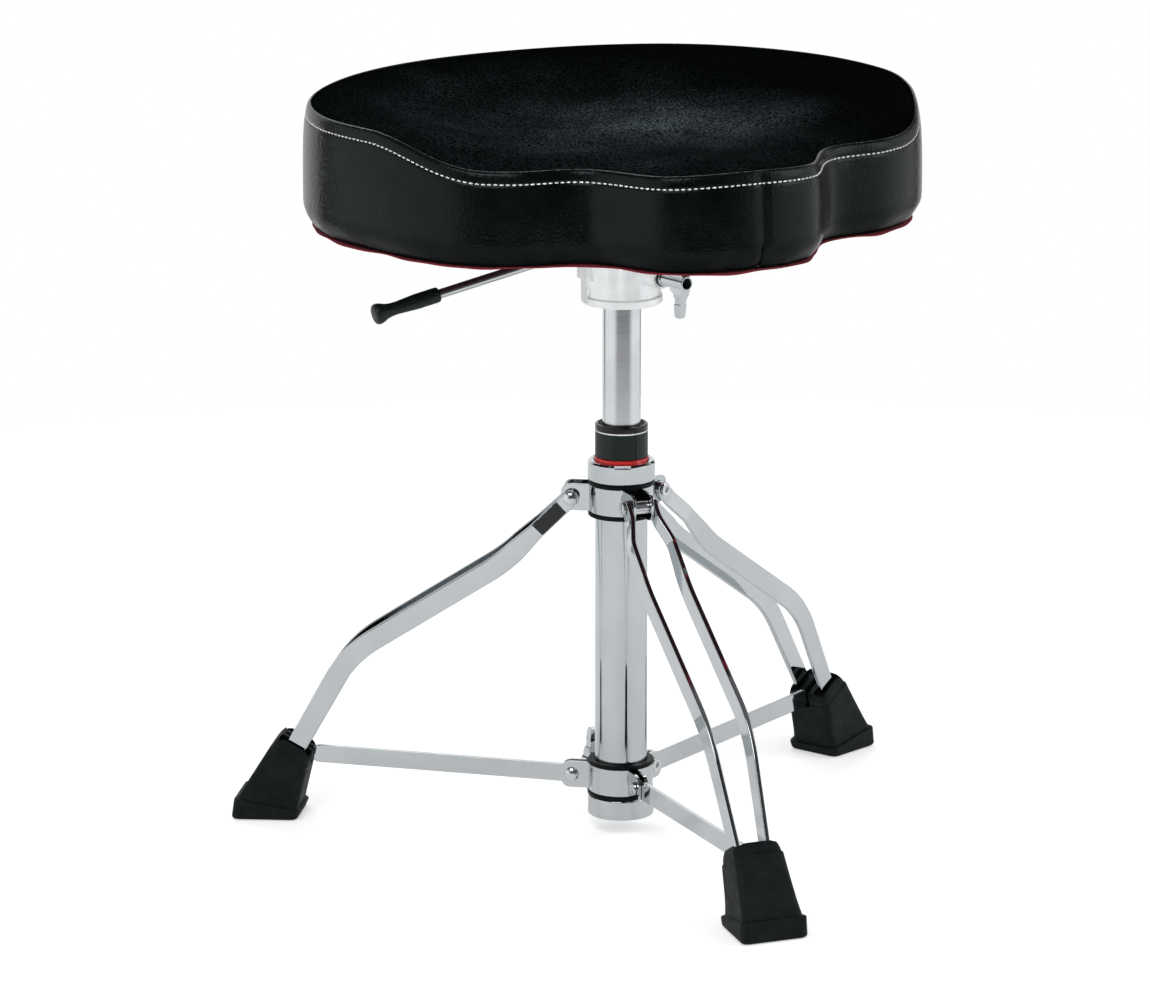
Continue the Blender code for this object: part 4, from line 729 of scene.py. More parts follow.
def build_column():
    radius = radius_of("column_tube")
    bottom, top = levels("column_tube")
    inside = radius - TUBE_WALL
    tube = [(radius, top), (radius, bottom), (inside, bottom), (inside, top)]
    add_turned_node("column_tube", tube, CHROME)

    cap = radius_of("bottom_cap")
    low, high = levels("bottom_cap")
    bore = radius + FIT
    floor = low + CAP_FLOOR
    cup = [(cap, high), (cap, low), (CAP_HOLE, low), (CAP_HOLE, floor), (bore, floor), (bore, high)]
    add_turned_node("bottom_cap", cup, CHROME, edge=TUBE_EDGE)
    dress("top_ring", CHROME, CAST_EDGE, 3)

    accent = radius_of("accent_ring")
    low, high = levels("accent_ring")
    band = [(accent, high), (accent, low), (inside, low), (inside, high)]
    split = add_turned_node("accent_ring", band, GLOSS_RED, edge=LIP_EDGE)
    for piece in (split, *build_guide(inside - FIT, high + FIT)):
        cut_away(piece, slit_cutter(low, accent), STAND)
    for node in ("upper_bush", "lower_bush"):
        build_spool(node, bore)


def build_guide(sleeve, head_bottom):
    """Black bush with a painted line below its glossy lip."""
    radius = radius_of("guide_bush")
    low, high = levels("guide_bush")
    line_top = high - GUIDE_LINE_DEPTH
    line_bottom = line_top - GUIDE_LINE_HEIGHT
    bore = radius_of("gas_cylinder") + FIT
    well = high - GUIDE_WELL_DEPTH
    rim = radius - GUIDE_RIM_WIDTH
    bush = [
        (radius, line_bottom),
        (radius, head_bottom),
        (sleeve, head_bottom),
        (sleeve, low),
        (bore, low),
        (bore, line_bottom),
    ]
    line = [(radius, line_top), (radius, line_bottom), (bore, line_bottom), (bore, line_top)]
    lip = [
        (radius, high),
        (radius, line_top),
        (bore, line_top),
        (bore, well),
        (rim - GUIDE_RIM_SLOPE, well),
        (rim, high),
    ]
    pieces = [add_turned_node("guide_bush", bush, SATIN_BLACK, edge=BOLT_EDGE)]
    rings = [("guide_line", line, LINE_WHITE, HAIR_EDGE), ("guide_lip", lip, GLOSS_BLACK, LIP_EDGE)]
    for name, profile, material, edge in rings:
        bm = turned(profile, edge=edge)
        pieces.append(add_piece(name, bm, material, "column", (), STAND))
    return pieces


def slit_cutter(bottom, radius):
    """A fine upright slot through the guide's wall and the ring below it."""
    bm = bmesh.new()
    bmesh.ops.create_cube(bm, size=1.0)
    bmesh.ops.scale(bm, verts=bm.verts, vec=(2 * SLIT_DEPTH, SLIT_WIDTH, SLIT_HEIGHT))
    bmesh.ops.translate(bm, verts=bm.verts, vec=(radius, 0.0, bottom - FIT + SLIT_HEIGHT / 2))
    bm.transform(Matrix.Rotation(SLIT_AZIMUTH, 4, "Z"))
    return bm


def build_spool(node, bore):
    """Flanged bush; the flange edges are rounded like moulded plastic."""
    flange = radius_of(node)
    low, high = levels(node)
    core = bore + SPOOL_WALL
    profile = [
        (flange, high),
        (flange, high - SPOOL_FLANGE),
        (core, high - SPOOL_FLANGE),
        (core, low + SPOOL_FLANGE),
        (flange, low + SPOOL_FLANGE),
        (flange, low),
        (bore, low),
        (bore, high),
    ]
    add_turned_node(node, profile, MOULDED_BLACK, edge=FLANGE_EDGE)


def build_gas_cylinder():
    radius = radius_of("gas_cylinder")
    low, high = levels("gas_cylinder")
    socket_floor = high - CYLINDER_SOCKET_DEPTH
    bore_top = socket_floor - CYLINDER_TOP_WALL
    profile = [
        (0.0, socket_floor),
        (CYLINDER_SOCKET, socket_floor),
        (CYLINDER_SOCKET, high),
        (radius, high),
        (radius, low),
        (CYLINDER_BORE, low),
        (CYLINDER_BORE, bore_top),
        (0.0, bore_top),
    ]
    add_turned_node("gas_cylinder", profile, STEEL, SEAT, False, edge=TUBE_EDGE)


def bar_section(half_width):
    """Points round a flat bar's section, across its width and its thickness, with rounded corners."""
    half_thick = BAR_THICKNESS / 2
    points = []
    for across, through in ((1, 1), (1, -1), (-1, -1), (-1, 1)):
        centre = Vector((across * (half_width - BAR_EDGE), through * (half_thick - BAR_EDGE)))
        start = math.atan2(through, across) + math.pi / 4
        for step in range(BAR_CORNER_STEPS + 1):
            turn = start - math.pi / 2 * step / BAR_CORNER_STEPS
            points.append(centre + Vector((math.cos(turn), math.sin(turn))) * BAR_EDGE)
    return points


def bar_stations():
    """Centres and widths along a bar, with a round eye at the pivot."""
    offsets = [BAR_EYE_OFFSET, BAR_EYE_OFFSET, BAR_OFFSET, BAR_OFFSET, BAR_OFFSET, BAR_FOOT_OFFSET]
    widths = [BAR_EYE_WIDTH, BAR_EYE_WIDTH, BAR_EYE_WIDTH, BAR_WIDTH, BAR_WIDTH, BAR_FOOT_WIDTH]
    corners = [(x, offset, z, width) for (x, z), offset, width in zip(BAR_CORNERS, offsets, widths)]
    path = rounded_path(corners, BAR_BENDS, BAR_BEND_STEPS)
    start = Vector(path[0][:3])
    along = (Vector(path[1][:3]) - start).normalized()
    eye = []
    for step in range(1, BAR_EYE_STEPS):
        turn = math.pi / 2 * step / BAR_EYE_STEPS
        centre = start - along * math.cos(turn) * BAR_EYE_WIDTH / 2
        eye.append(Vector((*centre, BAR_EYE_WIDTH * math.sin(turn))))
    return eye + path


def from_pivot(reach, offset, height):
    """A point of a leg, measured from its pivot."""
    return reach - BAR_PIVOT[0], offset, height - BAR_PIVOT[1]


def build_bar(leg, letter, side):
    stations = bar_stations()
    rows = []
    for i, station in enumerate(stations):
        before = Vector(stations[max(i - 1, 0)][:3])
        after = Vector(stations[min(i + 1, len(stations) - 1)][:3])
        along = (after - before).normalized()
        across = Vector((0.0, 1.0, 0.0))
        across = (across - along * across.dot(along)).normalized()
        upward = along.cross(across)
        centre = Vector(station[:3])
        row = []
        for width, thick in bar_section(max(station[3] / 2, BAR_EDGE + HAIR_EDGE)):
            reach, offset, height = centre + upward * width + across * thick
            row.append(from_pivot(reach, side * offset, height))
        rows.append(row)
    node = f"leg_{leg}_bar_{letter}"
    matrix = joint_frame(f"leg_{leg}_fold")
    bar = add_piece(node + "_fine", skin(rows), CHROME, f"leg_{leg}", [node], matrix)
    ends = (BOLT_HOLE_REACH, -BOLT_HOLE_REACH)
    hole = [(0.0, ends[0]), (BOLT_HOLE_RADIUS, ends[0]), (BOLT_HOLE_RADIUS, ends[1]), (0.0, ends[1])]
    drill = turned(hole, SMALL_SIDES, False, HAIR_EDGE)
    cut_away(bar, drill, matrix @ Matrix.Rotation(-math.pi / 2, 4, "X"))


def boot_row(inner, outer, inner_half, outer_half, step, corner=BOOT_CORNER):
    """A rounded section between an inner and an outer point, drawn in and moved up by a step."""
    inset, rise = step
    inner = Vector(inner)
    outer = Vector(outer)
    along = (outer - inner).normalized()
    up = Vector((-along[1], along[0]))
    inner += along * inset + up * rise
    outer += -along * inset + up * rise
    length = (outer - inner).length
    near = inner_half - inset
    far = outer_half - inset
    corners = [(0.0, -near), (length, -far), (length, far), (0.0, near)]
    row = []
    for run, offset in rounded_ring(corners, corner, BOOT_CORNER_STEPS):
        reach, height = inner + along * run
        row.append(from_pivot(reach, offset, height))
    return row


def boot_rows():
    """Sections from the rounded sole, past the lip and the shoulder bead, up to the rim."""
    sole = ((BOOT_INNER, 0.0), (BOOT_OUTER, 0.0), BOOT_INNER_HALF, BOOT_OUTER_HALF)
    lip = (BOOT_LIP_INNER, BOOT_LIP_OUTER, BOOT_INNER_HALF, BOOT_OUTER_HALF)
    shoulder = (BOOT_SHOULDER_INNER, BOOT_SHOULDER_OUTER, BOOT_SHOULDER_HALF, BOOT_SHOULDER_HALF)
    rim = (BOOT_RIM_INNER, BOOT_RIM_OUTER, BOOT_RIM_HALF, BOOT_RIM_HALF)
    rows = []
    for turn in np.linspace(0.0, math.pi / 2, BOOT_SOLE_STEPS + 1):
        step = (BOOT_SOLE_ROUND * (1 - math.sin(turn)), BOOT_SOLE_ROUND * (1 - math.cos(turn)))
        rows.append(boot_row(*sole, step))
    rows += [boot_row(*lip, step) for step in BOOT_LIP_STEPS]
    lower = np.array(boot_row(*lip, BOOT_WALL_START))
    upper = np.array(boot_row(*shoulder, BOOT_WALL_END))
    for share in np.linspace(0.0, 1.0, BOOT_WAIST_ROWS):
        waist = BOOT_WAIST_DEPTH * math.sin(math.pi * share ** 0.6)
        row = lower + (upper - lower) * share
        row[:, 1] -= np.sign(row[:, 1]) * np.minimum(np.abs(row[:, 1]), waist)
        rows.append(row)
    rows += [boot_row(*shoulder, step) for step in BOOT_SHOULDER_STEPS]
    rows += [boot_row(*rim, step, BOOT_RIM_CORNER) for step in BOOT_RIM_STEPS]
    return rows


def well_cutter(side):
    """The well beside one bar, between the rim's wall and the rib along the stay."""
    inner = Vector(BOOT_RIM_INNER)
    outer = Vector(BOOT_RIM_OUTER)
    along = (outer - inner).normalized()
    up = Vector((-along[1], along[0]))
    near = BOOT_RIM_WALL
    far = (outer - inner).length - BOOT_RIM_WALL
    wall = BOOT_RIM_HALF - BOOT_RIM_WALL
    corners = [(near, BOOT_RIB_HALF), (far, BOOT_RIB_HALF), (far, wall), (near, wall)]
    rows = []
    for inset, depth in BOOT_WELL_STEPS:
        row = []
        for run, offset in rounded_ring(corners, BOOT_WELL_CORNER, BOOT_CORNER_STEPS):
            run += math.copysign(inset, (near + far) / 2 - run)
            offset += math.copysign(inset, (BOOT_RIB_HALF + wall) / 2 - offset)
            reach, height = inner + along * run + up * depth
            row.append(from_pivot(reach, side * offset, height))
        rows.append(row)
    return skin(rows)


def slot_cutter():
    """The pocket that the stay's end swings in, open to the column and to the rim."""
    outside = BOOT_RIM_INNER[0] - STAY_SLOT_OPEN
    corners = [
        (outside, STAY_SLOT_FLOOR),
        (STAY_SLOT_REACH, STAY_SLOT_FLOOR),
        (STAY_SLOT_REACH, STAY_SLOT_CORNER),
        (BOOT_RIM_INNER[0], STAY_SLOT_TOP),
        (outside, STAY_SLOT_TOP),
    ]
    half = STAY_THICKNESS / 2 + STAY_SLOT_SIDE
    outline = rounded_ring(corners, STAY_THICKNESS, BOOT_CORNER_STEPS)
    return skin([[from_pivot(x, offset, z) for x, z in outline] for offset in (-half, half)])


def build_boot(leg):
    matrix = joint_frame(f"leg_{leg}_fold")
    node = f"leg_{leg}_foot"
    bm = skin(boot_rows())
    boot = add_piece(node + "_fine", bm, RUBBER, f"leg_{leg}", [node], matrix)
    for cutter in (well_cutter(1), well_cutter(-1), slot_cutter()):
        cut_away(boot, cutter, matrix)
    boot.data.set_sharp_from_angle(angle=math.radians(BOOT_SHARP_TURN))


def build_wing_screw(name):
    """A plated wing screw with a black sleeve in its open end, which paints the shade inside the bore."""
    node = name + "_screw"
    dress(node, CHROME, WING_EDGE, 3)
    joint = JOINTS[name + "_turn"]
    axis = Vector(joint["axis"]).normalized()
    place = Vector(joint["pos_m"])
    reach = max((Vector(vertex.co) - place).dot(axis) for vertex in frame["nodes"][node].data.vertices)
    mouth = reach - BORE_SHADE_MOUTH
    back = reach - BORE_SHADE_BACK
    inside = BORE_SHADE_RADIUS - BORE_SHADE_WALL
    # Painted shade: a black sleeve stands where the screw's bore holds only shade.
    bore_shade = [
        (0.0, back),
        (BORE_SHADE_RADIUS, back),
        (BORE_SHADE_RADIUS, mouth),
        (inside, mouth),
        (inside, back + BORE_SHADE_WALL),
        (0.0, back + BORE_SHADE_WALL),
    ]
    matrix = Matrix.Translation(place) @ axis.to_track_quat("Z", "Y").to_matrix().to_4x4()
    bm = turned(bore_shade, SMALL_SIDES, False, HAIR_EDGE)
    add_piece(node + "_bore_shade", bm, SATIN_BLACK, node, (), matrix)


def build_tripod():
    for i in (1, 2, 3):
        build_bar(i, "a", 1)
        build_bar(i, "b", -1)
        build_boot(i)
        dress(f"stay_{i}", CHROME, STAY_EDGE, 3)
        dress(f"upper_spacer_{i}", STEEL)
        for band in ("upper", "lower"):
            dress(f"{band}_strap_{i}", CHROME, STRAP_EDGE, 3)
            dress(f"{band}_pivot_bolt_{i}", STEEL, BOLT_EDGE)
    build_wing_screw("lock")


def build_hub():
    dress("seat_hub", CAST, CAST_EDGE, 3)
    build_wing_screw("clamp")
    dress("clamp_washer", SATIN_BLACK)
    for i in (1, 2, 3, 4):
        dress(f"hub_bolt_{i}", STEEL)
    for node in ("thrust_bearing", "piston_rod", "rod_clip", "release_button", "lever_pin"):
        dress(node, STEEL, PIN_EDGE)


def build_lever():
    outward = joint_frame("lever_lift") @ Matrix.Rotation(-math.pi / 2 - LEVER_SLOPE, 4, "Y")
    end = GRIP_START + GRIP_LENGTH
    socket = GRIP_START + GRIP_SOCKET_DEPTH
    tip = socket - FIT
    rod = [(0.0, tip), (LEVER_RADIUS, tip), (LEVER_RADIUS, -LEVER_TAIL), (0.0, -LEVER_TAIL)]
    add_turned_node("lever_rod", rod, CHROME, outward, False, SMALL_SIDES, EDGE)
    bore = LEVER_RADIUS + FIT
    grip = [
        (0.0, end),
        *[(radius, end - back) for radius, back in GRIP_END_POINTS],
        (GRIP_SLEEVE_RADIUS, GRIP_START + GRIP_SLEEVE_LENGTH),
        (GRIP_SLEEVE_RADIUS, GRIP_START),
        (bore, GRIP_START),
        (bore, socket),
        (0.0, socket),
    ]
    add_turned_node("lever_grip", grip, SATIN_BLACK, outward, False, GRIP_SIDES, GRIP_ROUND)


def closed_curve(knots, steps):
    """Points of a smooth closed curve through the knots, ending where it starts."""
    count = len(knots)
    points = []
    for i in range(count):
        before, start, end, after = (knots[(i + k - 1) % count] for k in range(4))
        for t in np.linspace(0.0, 1.0, steps, endpoint=False):
            square = (2 * before - 5 * start + 4 * end - after) * t ** 2
            cube = (3 * start - before - 3 * end + after) * t ** 3
            points.append(start + ((end - before) * t + square + cube) / 2)
    return np.array(points + points[:1])


def path_lengths(points):
    """Distance along a row of points to each of them."""
    return np.concatenate([[0.0], np.cumsum(np.linalg.norm(np.diff(points, axis=0), axis=1))])


def points_at(places, lengths, points):
    """Points at given distances along a row of points."""
    return np.stack([np.interp(places, lengths, column) for column in points.T], axis=1)


def seat_points():
    """Points round the seat, closer together beside the nose seam, with their outward ways.

    Also each point's distance from that seam, and its place round the seat as an angle.
    """
    half = [np.array((side, -reach)) for side, reach in SEAT_HALF_OUTLINE]
    other = [point * (-1, 1) for point in reversed(half[1:-1])]
    curve = closed_curve(half + other, SEAT_CURVE_STEPS)
    lengths = path_lengths(curve)
    whole = lengths[-1]
    places = np.concatenate([
        np.linspace(0.0, NOSE_SEAM_BAND, NOSE_SEAM_POINTS)[:-1],
        np.linspace(NOSE_SEAM_BAND, whole - NOSE_SEAM_BAND, SEAT_COLUMNS),
        np.linspace(whole - NOSE_SEAM_BAND, whole, NOSE_SEAM_POINTS)[1:-1],
    ])
    points = points_at((places + NOSE_SEAM_SHIFT) % whole, lengths, curve)
    along = np.roll(points, -1, axis=0) - np.roll(points, 1, axis=0)
    ways = np.stack([along[:, 1], -along[:, 0]], axis=1)
    ways /= np.linalg.norm(ways, axis=1)[:, None]
    if (ways * points).sum() < 0:
        ways = -ways
    return points, ways, np.minimum(places, whole - places), 2 * math.pi * places / whole


def smooth_step(low, high, value):
    share = np.clip((value - low) / (high - low), 0.0, 1.0)
    return share * share * (3 - 2 * share)


def ridge(distance, width):
    """One at no distance, falling off smoothly over the width."""
    return np.exp(-(distance / width) ** 2)


def rim_heights(points):
    """Low along the front, stepping up at the hips, highest at the back."""
    turn = np.degrees(np.arctan2(np.abs(points[:, 0]), -points[:, 1]))
    height = SEAT_FRONT_HEIGHT + SEAT_NOSE_LIFT * (1 - smooth_step(0.0, SEAT_NOSE_TURN, turn))
    height += (SEAT_HIP_HEIGHT - SEAT_FRONT_HEIGHT) * smooth_step(*SEAT_HIP_TURNS, turn)
    return height + (SEAT_BACK_HEIGHT - SEAT_HIP_HEIGHT) * smooth_step(*SEAT_BACK_TURNS, turn)


POINTS, WAYS, NOSE_DISTANCE, AROUND = seat_points()
HEIGHTS = rim_heights(POINTS)


def ring(inset, height):
    """One row of seat points, from insets and heights that may differ from column to column."""
    flat = POINTS - WAYS * np.broadcast_to(inset, HEIGHTS.shape)[:, None]
    return np.column_stack([flat, np.broadcast_to(height, HEIGHTS.shape)])


def side_inset(height):
    """How far the vinyl lies inside the outline: leaning in to a rolled rim, rolled under at the foot."""
    depth = HEIGHTS - height
    lean = SEAT_LEAN * np.exp(-depth / SEAT_LEAN_DEPTH)
    over = 1 - np.clip(depth / SEAT_RIM_ROUND, 0.0, 1.0)
    rim = SEAT_RIM_INSET * (1 - np.sqrt(1 - over ** 2))
    foot = SEAT_FOOT_INSET * (1 - np.clip(height / SEAT_FOOT_ROUND, 0.0, 1.0)) ** 2
    return lean + rim + foot


def side_rows():
    """Rows of the vinyl from its tucked foot up to the rim."""
    rows = [ring(SEAT_FOOT_INSET + inset, height) for inset, height in COVER_TUCK]
    bottom = COVER_TUCK[-1][1]
    for share in np.linspace(0.0, 1.0, FOOT_ROWS) ** FOOT_SPREAD:
        height = np.full_like(HEIGHTS, bottom + (SEAT_FOOT_TOP - bottom) * share)
        rows.append(ring(side_inset(height), height))
    wall = HEIGHTS - APPROACH_DEPTHS[0] - SEAT_FOOT_TOP
    for share in np.linspace(0.0, 1.0, WALL_ROWS + 2)[1:-1]:
        height = SEAT_FOOT_TOP + wall * share
        rows.append(ring(side_inset(height), height))
    stitch = STITCH_DEPTH - STITCH_ROW_STEP * np.arange(-STITCH_SIDE_ROWS, STITCH_SIDE_ROWS + 1)
    roll = SEAT_RIM_ROUND * (1 - np.sin(np.linspace(0.0, math.pi / 2, ROLL_ROWS + 1)[1:]))
    for depth in (*APPROACH_DEPTHS, *stitch, *RIM_DEPTHS, *roll):
        rows.append(ring(side_inset(HEIGHTS - depth), HEIGHTS - depth))
    return rows


def top_row(share, inset, drop):
    """A row of the dished top, drawn in towards the column by share."""
    flat = (POINTS - WAYS * inset) * share
    crown = SEAT_CROWN * math.sin(math.pi * min((1 - share) / SEAT_CROWN_SHARE, 1.0))
    rise = (HEIGHTS - SEAT_DISH_HEIGHT) * share ** SEAT_DISH_POWER
    return np.column_stack([flat, SEAT_DISH_HEIGHT + rise + crown - drop])


def top_rows():
    """Rows of the cloth from the seam in to the middle of the dish."""
    rows = [top_row(1.0, SEAM_INSET + inset, depth) for inset, depth in TOP_EDGE]
    for spread in np.linspace(0.0, 1.0, TOP_ROWS) ** TOP_SPREAD:
        rows.append(top_row(1 - TOP_START - (TOP_REACH - TOP_START) * spread, SEAM_INSET, 0.0))
    return rows


def pole(height):
    """A row of one point above the column."""
    return [(0.0, 0.0, float(height))]


def hold_weights(side_count, top_count):
    """Cloth weights by row: the foot, the rim with its seam and the middle of the dish are held."""
    weights = [1.0] * PAD_FOOT_ROWS
    weights += [0.0] * (side_count - PAD_FOOT_ROWS - PAD_RIM_ROWS)
    weights += [1.0] * (PAD_RIM_ROWS + 1 + PAD_EDGE_ROWS)
    for row in range(top_count - PAD_EDGE_ROWS):
        weights.append(min(max((row - PAD_FREE_ROWS) / PAD_FADE_ROWS, 0.0), 1.0))
    return weights


def blown_points(pad):
    """Points of a closed cloth after it has been blown out for a few steps."""
    cloth = pad.modifiers.new("Cloth", "CLOTH")
    cloth.settings.use_pressure = True
    cloth.settings.uniform_pressure_force = PAD_PRESSURE
    cloth.settings.effector_weights.gravity = 0.0
    cloth.settings.vertex_group_mass = "held"
    cloth.settings.quality = PAD_QUALITY
    cloth.settings.bending_stiffness = PAD_STIFFNESS
    cloth.point_cache.frame_end = PAD_STEPS
    scene = bpy.context.scene
    for step in range(1, PAD_STEPS + 1):
        scene.frame_set(step)
    result = pad.evaluated_get(bpy.context.evaluated_depsgraph_get()).to_mesh()
    points = np.empty(len(result.vertices) * 3, np.float32)
    result.vertices.foreach_get("co", points)
    scene.frame_set(1)
    return points.reshape(-1, 3)


def pad_out(side, top):
    """Let air pressure fill the sewn covers like foam does, holding the seam, the foot and the dish."""
    rows = np.array(side + [ring(SEAM_INSET + COVER_LIP[-1][0], HEIGHTS - SEAM_DEPTH)] + top)
    count, columns = rows.shape[:2]
    pad = mesh_object("pad", skin([*rows, pole(top[-1][:, 2].mean())]))
    held = pad.vertex_groups.new(name="held")
    for index, weight in enumerate(hold_weights(len(side), len(top))):
        held.add(list(range(index * columns, (index + 1) * columns)), weight, "REPLACE")
    held.add([count * columns], 1.0, "REPLACE")
    moved = blown_points(pad)[:count * columns].reshape(rows.shape)
    bpy.data.objects.remove(pad, do_unlink=True)
    shift = moved - rows
    length = np.linalg.norm(shift, axis=2, keepdims=True)
    rows += shift * np.minimum(1.0, PAD_MOVE_LIMIT / np.maximum(length, WELD_DISTANCE))
    return list(rows[:len(side)]), list(rows[len(side) + 1:])


def row_normals(rows):
    """Outward ways over a grid of seat rows."""
    grid = np.array(rows)
    around = np.roll(grid, -1, axis=1) - np.roll(grid, 1, axis=1)
    normal = np.cross(around, np.gradient(grid, axis=0))
    normal /= np.linalg.norm(normal, axis=2)[:, :, None]
    if (normal[:, :, :2] * WAYS[None]).sum() < 0:
        normal = -normal
    return normal


def sew(side):
    """Press the stitch line, the nose seam and the puckers above the foot into the vinyl."""
    grid = np.array(side)
    height = grid[:, :, 2]
    depth = HEIGHTS[None, :] - height
    dent = STITCH_DENT * ridge(depth - STITCH_DEPTH, STITCH_DENT_WIDTH)
    seam = NOSE_SEAM_DENT * ridge(NOSE_DISTANCE, NOSE_SEAM_WIDTH)
    seam += NOSE_PULL * ridge(NOSE_DISTANCE, NOSE_SEAM_BAND)
    dent += seam[None, :] * smooth_step(0.0, NOSE_SEAM_START, depth)
    folds = (1 + np.sin(PUCKER_COUNT * AROUND + PUCKER_SWAY * np.sin(PUCKER_SWAY_COUNT * AROUND))) / 2
    dent += PUCKER_DEPTH * folds[None, :] * ridge(height, PUCKER_HEIGHT) * smooth_step(*PUCKER_START, height)
    return list(grid - row_normals(side) * dent[:, :, None])


def thread_rows(centres, ways):
    """Sections of one stitch, which sinks in at both ends and stands proud in the middle."""
    last = len(centres) - 1
    rows = []
    for k in range(last + 1):
        out = Vector(ways[k])
        swell = math.sqrt(math.sin(math.pi * k / last))
        centre = Vector(centres[k]) + out * STITCH_RADIUS * (STITCH_STAND * swell - STITCH_SINK)
        if k in (0, last):
            rows.append([centre])
            continue
        up = Vector(centres[k + 1] - centres[k - 1]).cross(out).normalized()
        turns = [2 * math.pi * i / STITCH_SIDES for i in range(STITCH_SIDES)]
        size = STITCH_RADIUS * swell
        rows.append([centre + (out * math.cos(turn) + up * math.sin(turn)) * size for turn in turns])
    return rows


def add_stitches(side):
    """White thread on the stitch line, one small bead of thread for each stitch."""
    points = np.array(side)[STITCH_ROW]
    points = np.vstack([points, points[:1]])
    ways = row_normals(side)[STITCH_ROW]
    ways = np.vstack([ways, ways[:1]])
    lengths = path_lengths(points)
    count = round(lengths[-1] / STITCH_PITCH)
    bm = bmesh.new()
    for start in np.linspace(0.0, lengths[-1], count, endpoint=False):
        places = start + np.linspace(0.0, STITCH_LENGTH, STITCH_POINTS)
        skin(thread_rows(points_at(places, lengths, points), points_at(places, lengths, ways)), bm=bm)
    add_piece("seat_stitching", bm, THREAD, "seat", (), SEAT_PLACE)


def build_side_cover(side):
    """The vinyl band, with the inner face that lies on the foam."""
    inside = [ring(SEAM_INSET + inset, HEIGHTS - depth) for inset, depth in COVER_LIP]
    for share in COVER_INSIDE_SHARES:
        inside.append(ring(side_inset(HEIGHTS * share) + COVER_THICKNESS, HEIGHTS * share))
    inside.append(ring(SEAT_FOOT_INSET + COVER_TUCK[0][0], COVER_TUCK_TOP))
    bm = skin(side + inside, closed=True)
    cover = add_piece("seat_side_cover", bm, VINYL, "seat", ["side_cover"], SEAT_PLACE)


def build_top_pad(top):
    """The cloth top with the foam below it."""
    under = [top_row(share, SEAM_INSET + inset, depth) for share, inset, depth in TOP_UNDER]
    middle = pole(top[-1][:, 2].mean() - SEAT_DISH_DIMPLE)
    bm = skin([pole(TOP_FLOOR), *under, *top, middle])
    pad = add_piece("seat_top_pad", bm, VELOUR, "seat", ["top_cover", "foam_pad"], SEAT_PLACE)


def build_lining():
    """The underside cover with its piped edge, over the bare plywood board."""
    low, high = levels("underside_cover")
    thick = high - low
    rows = [pole(-thick), ring(LINING_INSET, -thick), ring(LINING_INSET, -LINING_GAP), pole(-LINING_GAP)]
    # Painted shade: the lining's colour is far darker than its piping.
    add_piece("seat_lining", skin(rows), SHADED_LINING, "seat", ["underside_cover"], SEAT_PLACE)
    wave = PIPING_WAVE * sum(share * np.sin(count * AROUND + start) for count, start, share in PIPING_WAVES)
    rows = [ring(PIPING_INSET, -thick)]
    rows += [ring(inset + wave, -thick * share + wave) for inset, share in PIPING_SECTION]
    rows.append(ring(PIPING_INSET, -thick * PIPING_TOP))
    add_piece("seat_piping", skin(rows, closed=True), PIPING, "seat", (), SEAT_PLACE)
    board = frame["nodes"]["seat_board"].data.materials
    board.clear()
    board.append(PLYWOOD)


def build_seat():
    side = side_rows()
    top = top_rows()
    side, top = pad_out(side, top)
    side = sew(side)
    build_side_cover(side)
    build_top_pad(top)
    add_stitches(side)
    build_lining()


def build_camera():
    camera = bpy.data.cameras.new("photo_camera")
    camera.sensor_fit = "HORIZONTAL"
    camera.sensor_width = SENSOR_WIDTH
    camera.lens = FOCAL_PIXELS * SENSOR_WIDTH / PHOTO_WIDTH
    camera.clip_end = VIEW_DEPTH
    item = bpy.data.objects.new("photo_camera", camera)
    away = Matrix.Rotation(CAMERA_AZIMUTH, 4, "Z") @ Vector((0.0, -CAMERA_DISTANCE, CAMERA_HEIGHT))
    item.location = COLUMN + away
    item.rotation_euler = (math.pi / 2 - CAMERA_PITCH, 0.0, CAMERA_AZIMUTH - CAMERA_YAW)
    bpy.context.scene.collection.objects.link(item)
    bpy.context.scene.camera = item


def add_area_light(name, lamp, level=STAND_LEVEL):
    """An area lamp aimed at a level on the column."""
    place, size, power = lamp
    light = bpy.data.lights.new(name, "AREA")
    light.shape = "RECTANGLE"
    light.size, light.size_y = size
    light.energy = power
    item = bpy.data.objects.new(name, light)
    item.location = place
    aim = COLUMN + Vector((0.0, 0.0, level)) - Vector(place)
    item.rotation_euler = aim.to_track_quat("-Z", "Y").to_euler()
    bpy.context.scene.collection.objects.link(item)
    return item


def build_lights():
    add_area_light("key_light", KEY_LIGHT)
    add_area_light("fill_light", FILL_LIGHT)
    add_area_light("back_light", BACK_LIGHT)
    hub_light = add_area_light("hub_light", HUB_LIGHT, HUB_LEVEL)
    hub_light.data.spread = HUB_LIGHT_SPREAD
    hub_light.visible_glossy = False


def larger(tree, first, second):
    """The larger of two sockets."""
    return add_node(tree, "Math", {0: first, 1: second}, operation="MAXIMUM").outputs["Value"]


def seen_in_mirrors(tree):
    """One for mirror and see-through rays, zero for others."""
    path = add_node(tree, "LightPath")
    return larger(tree, path.outputs["Is Glossy Ray"], path.outputs["Is Transmission Ray"])


def shade_studio(ramp):
    """Give a ramp over the whole turn its dark zones."""
    toward = math.degrees(CAMERA_AZIMUTH) - 90.0
    stops = []
    for fade_in, start, end, fade_out, brightness in DARK_ZONES:
        stops += [(fade_in, 1.0), (start, brightness), (end, brightness), (fade_out, 1.0)]
    for index, (turn, value) in enumerate(stops):
        spot = ((toward + turn + 180.0) % 360.0) / 360.0
        stop = ramp.elements[index] if index < 2 else ramp.elements.new(spot)
        stop.position = spot
        stop.color = (value, value, value, 1.0)


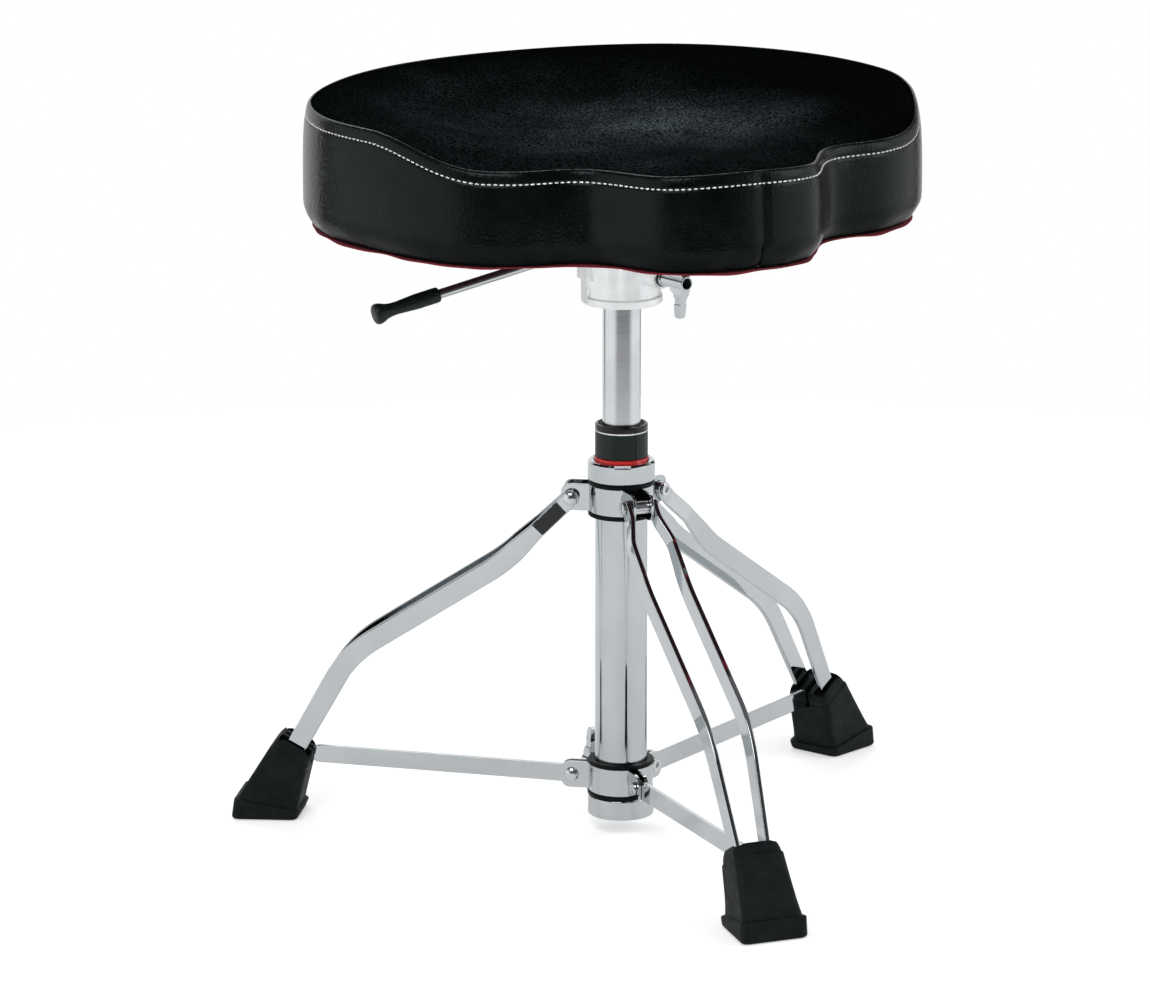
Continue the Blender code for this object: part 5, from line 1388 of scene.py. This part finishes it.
def build_world():
    """White to the eye; polished metal also sees the dark zones and a dim ceiling."""
    world = bpy.data.worlds.new("studio")
    bpy.context.scene.world = world
    world.use_nodes = True
    tree = world.node_tree
    fill = tree.nodes["Background"]
    fill.inputs["Color"].default_value = WHITE
    fill.inputs["Strength"].default_value = WORLD_FILL
    way = add_node(tree, "SeparateXYZ", {0: add_node(tree, "TexCoord").outputs["Generated"]})
    turn = add_node(tree, "Math", {0: way.outputs["Y"], 1: way.outputs["X"]}, operation="ARCTAN2")
    inputs = {"Value": turn.outputs["Value"], "From Min": -math.pi, "From Max": math.pi}
    share = add_node(tree, "MapRange", inputs)
    around = add_node(tree, "ValToRGB", {"Fac": share.outputs["Result"]})
    shade_studio(around.color_ramp)
    inputs = {"Value": way.outputs["Z"], "From Min": CEILING_START, "From Max": CEILING_END}
    ceiling = add_node(tree, "MapRange", {**inputs, "To Min": 1.0, "To Max": CEILING_SHARE})
    inputs = {0: around.outputs["Color"], 1: ceiling.outputs["Result"]}
    studio = add_node(tree, "Math", inputs, operation="MULTIPLY")
    path = add_node(tree, "LightPath")
    inputs = {0: path.outputs["Is Glossy Ray"], 6: WHITE, 7: studio.outputs["Value"]}
    colour = add_node(tree, "Mix", inputs, data_type="RGBA")
    seen = add_node(tree, "Background", {"Color": colour.outputs[2]})
    direct = larger(tree, path.outputs["Is Camera Ray"], seen_in_mirrors(tree))
    mix = add_node(tree, "MixShader", {0: direct, 1: fill.outputs[0], 2: seen.outputs[0]})
    tree.links.new(mix.outputs[0], tree.nodes["World Output"].inputs["Surface"])


def make_floor():
    """Pale, glowing a little to the eye and to mirrors, and clear from below."""
    sockets = {"Specular IOR Level": 0.0, "Emission Color": WHITE}
    finish = Finish("pale_floor", FLOOR_COLOUR, 0.9, 0.0, sockets)
    path = finish.add("LightPath", {})
    mirrored = seen_in_mirrors(finish.tree)
    faint = finish.add("Math", {0: mirrored, 1: FLOOR_MIRROR_GLOW}, operation="MULTIPLY").outputs["Value"]
    inputs = {0: path.outputs["Is Camera Ray"], 1: FLOOR_GLOW, 2: faint}
    glow = finish.add("Math", inputs, operation="MULTIPLY_ADD")
    finish.drive("Emission Strength", glow.outputs["Value"])
    facing = finish.add("NewGeometry", {}).outputs["Backfacing"]
    clear = finish.add("BsdfTransparent", {}).outputs[0]
    one_way = finish.add("MixShader", {0: facing, 1: finish.shader.outputs[0], 2: clear})
    surface = finish.tree.nodes["Material Output"].inputs["Surface"]
    finish.tree.links.new(one_way.outputs[0], surface)
    return finish.material


def build_floor():
    """A floor that keeps the object's shadow and fades into the background."""
    bm = bmesh.new()
    bmesh.ops.create_circle(bm, cap_ends=True, radius=FLOOR_RADIUS, segments=FLOOR_SIDES)
    floor = mesh_object("floor", bm)
    if floor.data.polygons[0].normal.z < 0:
        floor.data.flip_normals()
    floor.location.z = -FLOOR_DROP
    floor.data.materials.append(make_floor())


build_camera()
build_lights()
build_world()
build_floor()
build_column()
build_gas_cylinder()
build_tripod()
build_hub()
build_lever()
build_seat()
bpy.context.scene.view_settings.view_transform = "Standard"
